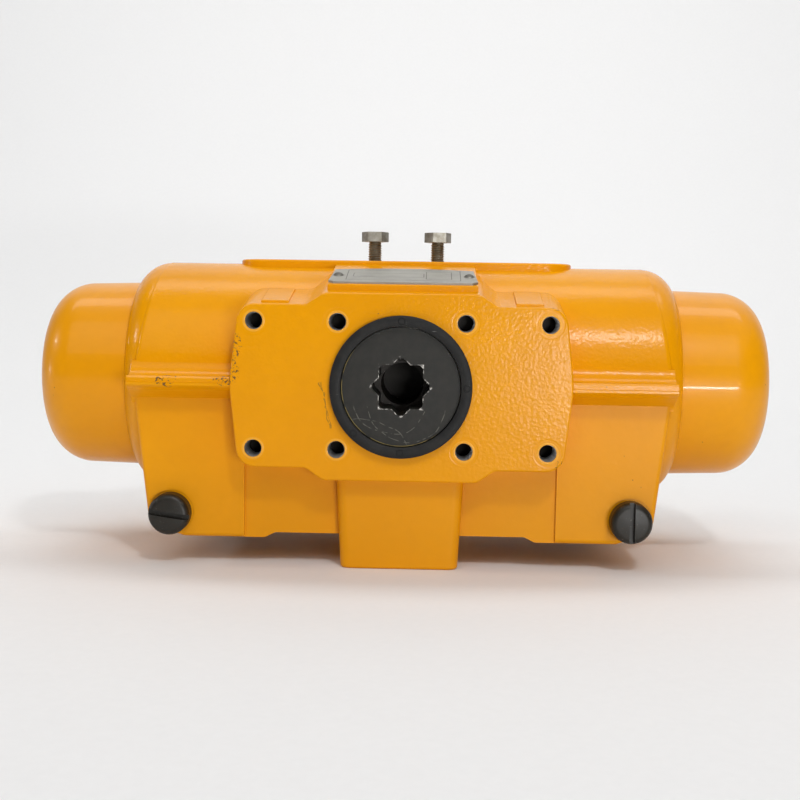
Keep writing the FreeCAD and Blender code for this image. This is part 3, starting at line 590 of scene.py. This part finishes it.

# %% [markdown]
# The centring ring is moulded in black plastic: matt and slightly dusty, with a few short pale scratches.
# Small round marks of the mould stand on it, and a dark line of painted shade runs round each.

# %% Black moulded plastic
MARK_CIRCLE = 25.4 * MM
MARK_RADIUS = 1.25 * MM
MARK_TURNS = [math.radians(degrees) for degrees in (0, 90, 180, 225)]
MARK_PLACES = [(math.sin(turn) * MARK_CIRCLE, math.cos(turn) * MARK_CIRCLE) for turn in MARK_TURNS]
MARK_SHADE = (0.12 * MM, 0.26 * MM)
PLASTIC = rgb(0.009, 0.009, 0.009)
PLASTIC_DUSTY = rgb(0.020, 0.019, 0.017)
PLASTIC_SCRATCH = rgb(0.26, 0.26, 0.25)
PLASTIC_PAINTED_SHADE = rgb(0.003, 0.003, 0.003)


def moulded_black():
    finish = Finish("moulded_black", IOR=1.4, Specular_IOR_Level=0.35)
    x, y, z = finish.axes()
    dust = finish.noise(7.0, detail=5.0, roughness=0.65)
    grain = finish.noise(0.35, detail=2.0)
    scratch = finish.cells(4.0, stretch=(0.25, 1, 2.2))
    line = (1 - scratch.between(0.03, 0.07)) * finish.noise(9.0).between(0.5, 0.6)
    colour = finish.mix(dust.between(0.35, 0.8), PLASTIC, PLASTIC_DUSTY)
    colour = finish.mix(line * 0.7, colour, PLASTIC_SCRATCH)
    for mark_x, mark_z in MARK_PLACES:
        off = abs(radius_of(x - mark_x, z - mark_z) - MARK_RADIUS)
        # painted shade: a dark line round each mould mark, in the crease beside it
        colour = finish.mix((1 - off.between(*MARK_SHADE)) * 0.85, colour, PLASTIC_PAINTED_SHADE)
    finish.give(Base_Color=colour, Roughness=0.50 + dust * 0.12,
                Normal=finish.bump(grain + dust * 0.4, 0.02, 0.5))
    return finish.done()


FINISHES["black_polymer"] = moulded_black()

# %% [markdown]
# The drive shaft is steel with a black phosphate coat. Its face shows turning marks and a few round
# scratches where valve stems have slid in. The coat is worn to bright steel on the socket's edges, and a
# trace of yellow paint runs along the lower left of the joint with the ring.

# %% Wear on the shaft's face
SOCKET_HALF = 8.5 * MM
SOCKET_EDGE = (SOCKET_HALF + 0.1 * MM, SOCKET_HALF + 0.45 * MM)
SOCKET_WALL = (SOCKET_HALF - 0.2 * MM, SOCKET_HALF)
SOCKET_DEPTH = (0.5 * MM, 6 * MM)
PAINT_TRACE_RADIUS = 22.9 * MM
PAINT_TRACE_WIDTH = (0.06 * MM, 0.18 * MM)
PAINT_TRACE_END = (-12 * MM, -2 * MM)
# middle x and z and radius in mm
STEM_LOOPS = ((2.0, -6.0, 18.0), (-4.0, -4.0, 17.0), (-13.0, -30.0, 20.0))
STEM_LOOP_SWAY = 5 * MM
STEM_LOOP_WIDTH = (0.04 * MM, 0.20 * MM)
STEM_LOOP_TOP = (-9 * MM, -7 * MM)


def stem_loops(finish, x, z, near_face):
    """Broken arcs in the lower half of the face."""
    shaken = finish.noise(14.0, detail=1.0) * STEM_LOOP_SWAY
    offs = [abs(radius_of(x - loop_x * MM, z - loop_z * MM) + shaken - radius * MM)
            for loop_x, loop_z, radius in STEM_LOOPS]
    loops = any_of((1 - off.between(*STEM_LOOP_WIDTH)) * near_face for off in offs)
    return loops * finish.noise(2.2).between(0.42, 0.6) * (1 - z.between(*STEM_LOOP_TOP))


def paint_trace(finish, x, z, near_face):
    """A thin arc of paint at the lower left of the joint with the ring."""
    trace = 1 - abs(radius_of(x, z) - PAINT_TRACE_RADIUS).between(*PAINT_TRACE_WIDTH)
    low_left = 1 - (x + z).between(*PAINT_TRACE_END)
    return trace * near_face * low_left * finish.noise(5.0).between(0.3, 0.5)


print("scratches of stems:", len(STEM_LOOPS))

# %% Phosphated shaft
SHAFT_FACE = (1.0 * MM, 2.5 * MM)
TURNING_PITCH = 0.35 * MM
PHOSPHATE = rgb(0.008, 0.0075, 0.005)
PHOSPHATE_CLOUD = rgb(0.018, 0.016, 0.012)
WORN_STEEL = rgb(0.45, 0.43, 0.40)
SOCKET_OIL = rgb(0.016, 0.010, 0.005)
LOOP_SCRATCH = rgb(0.22, 0.21, 0.17)
TRACE_YELLOW = rgb(0.36, 0.27, 0.08)


def phosphated():
    finish = Finish("phosphated_steel", Specular_IOR_Level=0.4)
    x, y, z = finish.axes()
    cloud = finish.noise(5.0, detail=5.0, roughness=0.6)
    grain = finish.noise(0.3, detail=2.0)
    square = abs(x).at_least(abs(z))
    diamond = (abs(x) + abs(z)) * math.sqrt(0.5)
    star = square.at_most(diamond)
    near_face = 1 - y.between(*SHAFT_FACE)
    worn = (1 - star.between(*SOCKET_EDGE)) * near_face * finish.noise(1.6, detail=3.0).between(0.45, 0.62)
    inside = (1 - star.between(*SOCKET_WALL)) * y.between(*SOCKET_DEPTH)
    rings = (radius_of(x, z) * (2 * math.pi / TURNING_PITCH)).sine()
    colour = finish.mix(cloud.between(0.3, 0.75), PHOSPHATE, PHOSPHATE_CLOUD)
    colour = finish.mix(worn * 0.8, colour, WORN_STEEL)
    colour = finish.mix(inside * 0.85, colour, SOCKET_OIL)
    colour = finish.mix(stem_loops(finish, x, z, near_face) * 0.45, colour, LOOP_SCRATCH)
    colour = finish.mix(paint_trace(finish, x, z, near_face) * 0.8, colour, TRACE_YELLOW)
    finish.give(Base_Color=colour, Roughness=0.46 + cloud * 0.15 - worn * 0.2, Metallic=worn * 0.9 + 0.05,
                Normal=finish.bump(grain + rings * 0.25 + cloud * 0.4, 0.02, 0.5))
    return finish.done()


FINISHES["shaft_steel"] = phosphated()

# %% [markdown]
# Small steel parts have a dull zinc plating, a little yellowed and cloudy.

# %% Zinc-plated steel
ZINC = rgb(0.40, 0.385, 0.34)
ZINC_YELLOWED = rgb(0.27, 0.25, 0.205)


def zinc():
    finish = Finish("zinc_plating", Metallic=1.0)
    cloud = finish.noise(2.5, detail=5.0, roughness=0.6)
    grain = finish.noise(0.25, detail=2.0)
    colour = finish.mix(cloud.between(0.3, 0.7), ZINC, ZINC_YELLOWED)
    finish.give(Base_Color=colour, Roughness=0.38 + cloud * 0.18,
                Normal=finish.bump(grain + cloud, 0.02, 0.6))
    return finish.done()


FINISHES["zinc_steel"] = zinc()

# %% [markdown]
# The springs and the wire rings are oiled spring steel. Drawing the wire leaves fine lines along it.

# %% Spring steel
SPRING_DARK = rgb(0.12, 0.12, 0.13)
SPRING_LIGHT = rgb(0.22, 0.22, 0.23)


def spring_coat():
    finish = Finish("oiled_spring_steel", Metallic=0.9)
    cloud = finish.noise(3.0, detail=4.0)
    draw_lines = finish.noise(0.5, detail=2.0, stretch=(0.2, 1, 1))
    finish.give(Base_Color=finish.mix(cloud, SPRING_DARK, SPRING_LIGHT), Roughness=0.3 + draw_lines * 0.2,
                Normal=finish.bump(draw_lines, 0.02, 0.5))
    return finish.done()


FINISHES["spring_steel"] = spring_coat()

# %% [markdown]
# The gallery plugs are black oxide on steel, smoother than the plastic ring, with pale dust on them.

# %% Black plug
OXIDE = rgb(0.008, 0.006, 0.003)
OXIDE_CLOUD = rgb(0.017, 0.014, 0.009)
OXIDE_DUST = rgb(0.16, 0.15, 0.13)


def black_oxide():
    finish = Finish("black_oxide", IOR=1.5, Specular_IOR_Level=0.4)
    cloud = finish.noise(3.0, detail=4.0)
    grain = finish.noise(0.3, detail=2.0)
    dust = finish.noise(1.3, detail=4.0).between(0.62, 0.8)
    colour = finish.mix(cloud, OXIDE, OXIDE_CLOUD)
    colour = finish.mix(dust * 0.5, colour, OXIDE_DUST)
    finish.give(Base_Color=colour, Roughness=0.33 + cloud * 0.15,
                Normal=finish.bump(grain + cloud * 0.5, 0.02, 0.5))
    return finish.done()


FINISHES["black_plug"] = black_oxide()

# %% [markdown]
# The plate is brushed aluminium left bare. The brush lines run along it, so the noise is stretched along
# X. Three thin engraved frames divide it, and a painted shade darkens the plate round each rivet.

# %% Brushed plate
plate_low, plate_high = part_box("nameplate")
rivets_low, rivets_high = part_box("nameplate_rivets")
PLATE_MIDDLE_Y = (plate_low.y + plate_high.y) / 2
RIVET_X = 26.0 * MM
RIVET_Y = (rivets_low.y + rivets_high.y) / 2
RIVET_Z = rivets_high.z
RIVET_SEAT_MM = 3.2
# middle x, half length and half width in mm
PLATE_FRAMES = ((0.0, 22.5, 9.6), (-6.0, 14.0, 3.4), (14.0, 5.0, 7.0))
FRAME_LINE = (0.10 * MM, 0.22 * MM)
PLATE_DARKER = rgb(0.27, 0.265, 0.24)
PLATE_LIGHTER = rgb(0.44, 0.42, 0.37)
PLATE_CLOUD = rgb(0.26, 0.255, 0.235)
FRAME_GREY = rgb(0.07, 0.068, 0.06)
RIVET_PAINTED_SHADE = rgb(0.05, 0.045, 0.035)


def frame_line(x, along, middle_x, half_x, half_y):
    """1 on the outline of one engraved frame."""
    edge = (abs(x - middle_x * MM) - half_x * MM).at_least(abs(along) - half_y * MM)
    return 1 - abs(edge).between(*FRAME_LINE)


def brushed_plate():
    finish = Finish("brushed_aluminium", Metallic=0.9)
    lines = finish.noise(0.35, detail=3.0, stretch=(0.03, 1, 1))
    cloud = finish.noise(9.0, detail=5.0, roughness=0.65)
    x, y = finish.axes()[:2]
    frames = any_of(frame_line(x, y - PLATE_MIDDLE_Y, *sizes) for sizes in PLATE_FRAMES)
    rivets = [Vector((side * RIVET_X, RIVET_Y, RIVET_Z)) / MM for side in (-1, 1)]
    rivet_shade = any_of(finish.spot(rivet, RIVET_SEAT_MM) for rivet in rivets)
    colour = finish.mix(lines, PLATE_DARKER, PLATE_LIGHTER)
    colour = finish.mix(cloud.between(0.45, 0.75) * 0.5, colour, PLATE_CLOUD)
    colour = finish.mix(frames * 0.6, colour, FRAME_GREY)
    # painted shade: the plate darkens round each rivet, as if in a shaded seat
    colour = finish.mix(rivet_shade * 0.7, colour, RIVET_PAINTED_SHADE)
    finish.give(Base_Color=colour, Roughness=0.42 + cloud * 0.2 + frames * 0.2,
                Normal=finish.bump(lines - frames * 3, 0.015, 0.6))
    return finish.done()


FINISHES["plate_aluminium"] = brushed_plate()

# %% [markdown]
# The pistons and the threads in the casting are bare cut aluminium. A lathe leaves fine lines, and a
# noise that is stretched along Z is enough to suggest them.

# %% Machined aluminium
CUT_DARKER = rgb(0.50, 0.51, 0.52)
CUT_LIGHTER = rgb(0.62, 0.62, 0.62)


def machined():
    finish = Finish("machined_aluminium", Metallic=1.0)
    cuts = finish.noise(0.5, detail=2.0, stretch=(1, 1, 0.1))
    cloud = finish.noise(12.0, detail=3.0)
    finish.give(Base_Color=finish.mix(cloud, CUT_DARKER, CUT_LIGHTER), Roughness=0.3 + cuts * 0.15,
                Normal=finish.bump(cuts, 0.01, 0.5))
    return finish.done()


FINISHES["cast_aluminium"] = machined()

# %% [markdown]
# The seals are black nitrile rubber with a faint grey bloom. The bushes, bands and pads are a cream
# bearing plastic, slightly milky, so a little light goes into it.

# %% Rubber
RUBBER = rgb(0.012, 0.012, 0.012)
RUBBER_BLOOM = rgb(0.028, 0.028, 0.028)


def rubber():
    finish = Finish("nitrile_rubber")
    bloom = finish.noise(4.0, detail=4.0)
    grain = finish.noise(0.3, detail=2.0)
    finish.give(Base_Color=finish.mix(bloom, RUBBER, RUBBER_BLOOM), Roughness=0.55 + bloom * 0.15,
                Normal=finish.bump(grain, 0.02, 0.5))
    return finish.done()


FINISHES["rubber"] = rubber()

# %% Bearing plastic
CREAM = rgb(0.72, 0.66, 0.50)
CREAM_PALE = rgb(0.80, 0.75, 0.60)


def bearing_plastic():
    finish = Finish("bearing_plastic", Subsurface_Weight=0.05)
    cloud = finish.noise(6.0, detail=4.0)
    tool_marks = finish.noise(0.4, detail=2.0, stretch=(1, 0.1, 1))
    finish.give(Base_Color=finish.mix(cloud, CREAM, CREAM_PALE), Roughness=0.42 + cloud * 0.12,
                Normal=finish.bump(tool_marks, 0.01, 0.5))
    return finish.done()


FINISHES["bush_polymer"] = bearing_plastic()

# %% [markdown]
# Each node of the frame says which finish it wears, so one loop dresses them all.

# %% Dress the frame
for part in frame["record"]["subparts"]:
    node = frame["nodes"][part["node"]]
    node.data.materials.clear()
    node.data.materials.append(FINISHES[part["material_slot"]])
print("dressed", len(frame["nodes"]), "nodes in", len(FINISHES), "finishes")

# %% [markdown]
# The pieces that a drawing leaves out come next. Each is drawn in a bmesh. Cleaning it welds doubled
# points first and turns the faces outwards second, since the second step needs a closed skin. Then the
# piece rides on its body and takes the finish of a slot.

# %% Turn a bmesh into a piece
WELD = 0.0005 * MM
SHARP = math.radians(28)


def add_piece(name, bm, body, slot):
    """Cleans a closed mesh and makes it a piece that rides on a body."""
    bmesh.ops.remove_doubles(bm, verts=bm.verts, dist=WELD)
    bmesh.ops.recalc_face_normals(bm, faces=bm.faces)
    open_edges = sum(not edge.is_manifold for edge in bm.edges)
    mesh = bpy.data.meshes.new(name)
    bm.to_mesh(mesh)
    bm.free()
    mesh.shade_smooth()
    mesh.set_sharp_from_angle(angle=SHARP)
    mesh.materials.append(FINISHES[slot])
    piece = bpy.data.objects.new(name, mesh)
    bpy.context.scene.collection.objects.link(piece)
    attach(piece, body)
    print(name, "faces:", len(mesh.polygons), "open edges:", open_edges)
    return piece


def copy_of(node):
    """A welded copy of a CAD node's mesh, ready to be changed."""
    bm = bmesh.new()
    bm.from_mesh(frame["nodes"][node].data)
    bmesh.ops.remove_doubles(bm, verts=bm.verts, dist=WELD)
    return bm


print("points closer than", WELD / MM, "mm are welded")

# %% [markdown]
# A screw thread is a ridge that winds round a cylinder. A Screw modifier could wind it, but one spin
# does too: it turns a small triangle round the axis and shifts it a little at each step, and the last
# turn ends where the length does. The triangle's base lies just inside the wall, so no gap shows.

# %% Wind a thread
TURN_STEPS = 20
RIDGE_SHARE = 0.42
BURIED = 0.06 * MM


def wind_thread(bm, start, axis, length, base_radius, crest_radius, pitch):
    """Adds a closed triangular ridge that winds from start along an axis."""
    axis = Vector(axis)
    start = Vector(start)
    across = axis.orthogonal().normalized()
    half = axis * (RIDGE_SHARE * pitch)
    foot = start + across * base_radius
    corners = [bm.verts.new(p) for p in (foot - half, start + across * crest_radius, foot + half)]
    profile = bmesh.ops.contextual_create(bm, geom=corners)["faces"]
    steps = round(length / pitch * TURN_STEPS)
    bmesh.ops.spin(bm, geom=corners + list(profile[0].edges) + profile, cent=start, axis=axis,
                   dvec=axis * (length / steps), angle=math.tau * length / pitch, steps=steps)


def thread_hole(bm, mouth, axis, length, radius, ridge, pitch):
    """Winds a ridge that stands out of the wall of a hole."""
    wind_thread(bm, mouth, axis, length, radius + BURIED, radius - ridge, pitch)


print("steps in one turn of a thread:", TURN_STEPS)

# %% Threads of the flange holes
M8_HOLE = {"length": 13 * MM, "radius": 3.4 * MM, "ridge": 0.28 * MM, "pitch": 1.25 * MM}
THREAD_START = 0.9 * MM
SIDES = [(side_x, side_z) for side_x in (-1, 1) for side_z in (-1, 1)]

bm = bmesh.new()
for hole_x in FLANGE_HOLE_X:
    for side_x, side_z in SIDES:
        mouth = (side_x * hole_x, THREAD_START, side_z * FLANGE_HOLE_Z)
        thread_hole(bm, mouth, (0, 1, 0), **M8_HOLE)
add_piece("flange_threads", bm, "housing", "cast_aluminium")

# %% Threads at the back and below
M5_HOLE = {"length": 7.5 * MM, "radius": 2.1 * MM, "ridge": 0.2 * MM, "pitch": 0.8 * MM}
ACCESSORY_FACE_Y = 112 * MM
ACCESSORY_HOLE_X = 40 * MM
ACCESSORY_HOLE_Z = 15 * MM
PORT_FACE_Z = cad_low.z
PORT_X = 12 * MM
PORT_SCREW_REACH = 16 * MM

bm = bmesh.new()
for side_x, side_z in SIDES:
    mouth = (side_x * ACCESSORY_HOLE_X, ACCESSORY_FACE_Y - THREAD_START, side_z * ACCESSORY_HOLE_Z)
    thread_hole(bm, mouth, (0, -1, 0), **M5_HOLE)
    mouth = (side_x * PORT_X, BODY_AXIS_Y + side_z * PORT_SCREW_REACH, PORT_FACE_Z + THREAD_START)
    thread_hole(bm, mouth, (0, 0, 1), **M5_HOLE)
add_piece("small_threads", bm, "housing", "cast_aluminium")

# %% Threads of the air ports
PORT_HOLE = {"length": 9.5 * MM, "radius": 5.75 * MM, "ridge": 0.4 * MM, "pitch": 1.337 * MM}

bm = bmesh.new()
for side_x in (-1, 1):
    mouth = (side_x * PORT_X, BODY_AXIS_Y, PORT_FACE_Z + THREAD_START)
    thread_hole(bm, mouth, (0, 0, 1), **PORT_HOLE)
add_piece("port_threads", bm, "housing", "cast_aluminium")

# %% Thread in the shaft's end
M6_HOLE = {"length": 8 * MM, "radius": 2.5 * MM, "ridge": 0.22 * MM, "pitch": 1.0 * MM}
SHAFT_END_Y = cad_high.y
SHAFT_SLOT_DEPTH = 4 * MM

bm = bmesh.new()
thread_hole(bm, (0, SHAFT_END_Y - THREAD_START - SHAFT_SLOT_DEPTH, 0), (0, -1, 0), **M6_HOLE)
add_piece("shaft_thread", bm, "pinion", "shaft_steel")

# %% [markdown]
# The stop screws are threaded from tip to head, and their free part shows it against the backdrop. The
# CAD screw has a plain shank of the outer size. A copy of it gets a thinner core, and the wound ridge
# brings it back to size. The copy stands for the CAD screw and rides with it.

# %% Threaded stop screws
SCREW_RADIUS = 3.0 * MM
SCREW_CORE = 2.52 * MM
SCREW_CREST = 2.97 * MM
SCREW_PITCH = 1.0 * MM
SCREW_HEAD_Z = 58.1 * MM
SCREW_TIP_Z = 12.08 * MM
SCREW_X = 13.4 * MM
SCREW_LEAD_IN = 1.4 * MM
SCREW_PLAIN_ENDS = 2.2 * MM
NEARBY = 0.1 * MM


def thin_shank(bm, side):
    """Draws a screw's shank in to the core of its thread."""
    for vert in bm.verts:
        arm = Vector((vert.co.x - side * SCREW_X, vert.co.y - BODY_AXIS_Y, 0))
        if SCREW_CORE < arm.length < SCREW_RADIUS + NEARBY and vert.co.z < SCREW_HEAD_Z + NEARBY:
            vert.co -= arm * (1 - SCREW_CORE / arm.length)


for side, name in ((-1, "stop_screw_left"), (1, "stop_screw_right")):
    bm = copy_of(name)
    thin_shank(bm, side)
    wind_thread(bm, (side * SCREW_X, BODY_AXIS_Y, SCREW_TIP_Z + SCREW_LEAD_IN), (0, 0, 1),
                SCREW_HEAD_Z - SCREW_TIP_Z - SCREW_PLAIN_ENDS, SCREW_CORE - BURIED, SCREW_CREST, SCREW_PITCH)
    piece = add_piece(name + "_threaded", bm, name, "zinc_steel")
    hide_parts(name)

# %% [markdown]
# The centring ring carries four small round marks from its mould. They are thin rings, each a small
# circle spun once round. The ring under them is a copy of the CAD ring whose face lies lower by the
# marks' height, so the marks end at the height of the real face.

# %% Marks on the centring ring
MARK_HEIGHT = 0.12 * MM
MARK_SECTION_SIDES = 8
MARK_STEPS = 28
RING_FACE_Y = cad_low.y
FACE_TOLERANCE = 0.01 * MM

bm = copy_of("centring_ring")
for vert in bm.verts:
    if vert.co.y < RING_FACE_Y + FACE_TOLERANCE:
        vert.co.y += MARK_HEIGHT
for mark_x, mark_z in MARK_PLACES:
    centre = Vector((mark_x, RING_FACE_Y + MARK_HEIGHT, mark_z))
    section_place = Matrix.Translation(centre + Vector((MARK_RADIUS, 0, 0)))
    verts = bmesh.ops.create_circle(bm, segments=MARK_SECTION_SIDES, radius=MARK_HEIGHT,
                                    matrix=section_place)["verts"]
    edges = list({edge for vert in verts for edge in vert.link_edges})
    bmesh.ops.spin(bm, geom=verts + edges, cent=centre, axis=(0, 1, 0), angle=math.tau, steps=MARK_STEPS,
                   use_merge=True)
piece = add_piece("marked_centring_ring", bm, "housing", "black_polymer")
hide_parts("centring_ring")

# %% [markdown]
# Wet paint creeps back from a masked hole and leaves a soft raised lip. Each lip is a low profile of
# five points spun round the hole's axis.

# %% Paint lips round the flange holes
# radius and Y in mm, from the hole outwards: a Y below 0 stands out of the flange's face
LIP_PROFILE = ((3.46, 0.06), (3.52, -0.06), (3.8, -0.12), (4.1, -0.08), (4.4, 0.06))
LIP_STEPS = 40


def add_lip(bm, centre):
    """Spins the lip's profile round one hole."""
    corners = [bm.verts.new(centre + Vector((radius * MM, y * MM, 0))) for radius, y in LIP_PROFILE]
    edges = [bm.edges.new((corners[i - 1], corners[i])) for i in range(len(corners))]
    bmesh.ops.spin(bm, geom=corners + edges, cent=centre, axis=(0, 1, 0), angle=math.tau, steps=LIP_STEPS,
                   use_merge=True)


bm = bmesh.new()
for hole_x in FLANGE_HOLE_X:
    for side_x, side_z in SIDES:
        add_lip(bm, Vector((side_x * hole_x, 0, side_z * FLANGE_HOLE_Z)))
add_piece("paint_lips", bm, "housing", "body_paint")

# %% [markdown]
# The two gallery plugs are turned screws with a domed, well rounded head and a wide sawn slot. A boolean
# could cut the slot. Here each head is two halves instead, cut off a spun dome by a plane on either side
# of the slot and closed there, on a spun base that is the slot's floor and the shank.

# %% Sizes of the gallery plugs
PLUG_SHANK_RADIUS = 5.6 * MM
PLUG_SHANK_LENGTH = 9.0 * MM
PLUG_HEAD_RADIUS = 8.2 * MM
PLUG_HEAD_HEIGHT = 8.2 * MM
PLUG_ROUNDING = 2.4 * MM
PLUG_CROWN = 0.35 * MM
PLUG_SLOT_HALF = 1.05 * MM
PLUG_SLOT_DEPTH = 2.4 * MM
PLUG_SLOT_FLOOR = PLUG_HEAD_HEIGHT - PLUG_SLOT_DEPTH
PLUG_SEAL_WIDTH = 1.0 * MM
PLUG_STEPS = 56
ROUNDING_STEPS = 8
SUNK = 0.2 * MM
print("slot floor:", round(PLUG_SLOT_FLOOR / MM, 1), "mm above the seat")

# %% Spin a plug and halve its dome


def spun(points):
    """A solid turned about Z from a half profile that starts and ends on the axis."""
    bm = bmesh.new()
    verts = [bm.verts.new((radius, 0, height)) for radius, height in points]
    edges = [bm.edges.new(pair) for pair in zip(verts, verts[1:])]
    bmesh.ops.spin(bm, geom=verts + edges, axis=(0, 0, 1), angle=math.tau, steps=PLUG_STEPS, use_merge=True)
    bmesh.ops.remove_doubles(bm, verts=bm.verts, dist=WELD)
    return bm


def rounded_shoulder():
    """Quarter circle from the head's side up to its crown."""
    shoulder = PLUG_HEAD_RADIUS - PLUG_ROUNDING
    turns = [math.pi * step / (2 * ROUNDING_STEPS) for step in range(ROUNDING_STEPS + 1)]
    return [(shoulder + PLUG_ROUNDING * math.cos(turn),
             PLUG_HEAD_HEIGHT - PLUG_CROWN - PLUG_ROUNDING * (1 - math.sin(turn))) for turn in turns]


def plug_half(side):
    """One half of the domed head, on one side of the slot."""
    shoulder = PLUG_HEAD_RADIUS - PLUG_ROUNDING
    bm = spun([(0, PLUG_SLOT_FLOOR - SUNK), (PLUG_HEAD_RADIUS - SUNK, PLUG_SLOT_FLOOR - SUNK),
               (PLUG_HEAD_RADIUS, PLUG_SLOT_FLOOR + BURIED), *rounded_shoulder(),
               (shoulder / 2, PLUG_HEAD_HEIGHT - PLUG_CROWN / 4), (0, PLUG_HEAD_HEIGHT)])
    cut = bmesh.ops.bisect_plane(bm, geom=[*bm.verts, *bm.edges, *bm.faces], dist=WELD, clear_inner=True,
                                 plane_co=(0, side * PLUG_SLOT_HALF, 0), plane_no=(0, side, 0))
    rim = [item for item in cut["geom_cut"] if isinstance(item, bmesh.types.BMEdge)]
    bmesh.ops.contextual_create(bm, geom=rim)
    return bm


print("points on the rounded shoulder:", len(rounded_shoulder()))

# %% Slotted gallery plugs


def add_half(bm, side):
    """Adds one half of the head to a plug."""
    half = plug_half(side)
    shape = bpy.data.meshes.new("plug_half")
    half.to_mesh(shape)
    half.free()
    bm.from_mesh(shape)
    bpy.data.meshes.remove(shape)


def gallery_plug(node, slot_turn):
    """Stands for a CAD plug: its head faces -Y and its slot is turned from the X axis."""
    low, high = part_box(node)
    seat = Vector(((low.x + high.x) / 2, high.y - PLUG_SHANK_LENGTH, (low.z + high.z) / 2))
    bm = spun([(0, -PLUG_SHANK_LENGTH), (PLUG_SHANK_RADIUS, -PLUG_SHANK_LENGTH),
               (PLUG_SHANK_RADIUS, PLUG_SEAL_WIDTH), (PLUG_HEAD_RADIUS, PLUG_SEAL_WIDTH),
               (PLUG_HEAD_RADIUS, PLUG_SLOT_FLOOR), (0, PLUG_SLOT_FLOOR)])
    for side in (-1, 1):
        add_half(bm, side)
    turn = Matrix.Rotation(math.radians(90), 4, "X") @ Matrix.Rotation(slot_turn, 4, "Z")
    bmesh.ops.transform(bm, matrix=Matrix.Translation(seat) @ turn, verts=bm.verts)
    piece = add_piece(node + "_domed", bm, "housing", "black_plug")
    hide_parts(node)


gallery_plug("gallery_plug_left", math.radians(-8))
gallery_plug("gallery_plug_right", math.radians(90))

# %% [markdown]
# Each coil spring stays seated in its end cup and is pressed shorter by its piston. Here each coil is
# copied as it stands into a piece with a mesh of its own: a rigid copy, which the piston would run
# through. The CAD coil is hidden.

# %% Rigid copies of the springs
for joint in frame["record"]["behaviour"]["joints"]:
    for soft in joint.get("deforming_nodes", []):
        node = soft["node"]
        low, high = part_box(node)
        fixed_x = soft["fixed_end_x_m"]
        free_length = max(abs(fixed_x - low.x), abs(fixed_x - high.x))
        piece = add_piece(node + "_coil", copy_of(node), body_of(frame["nodes"][node])[0], "spring_steel")
        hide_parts(node)
        1 - max(joint["range_m"]) / free_length
        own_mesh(piece)
        print(node, "length at rest:", round(free_length / MM, 1), "mm")

# %% Measure the dressed scene
low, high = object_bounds()
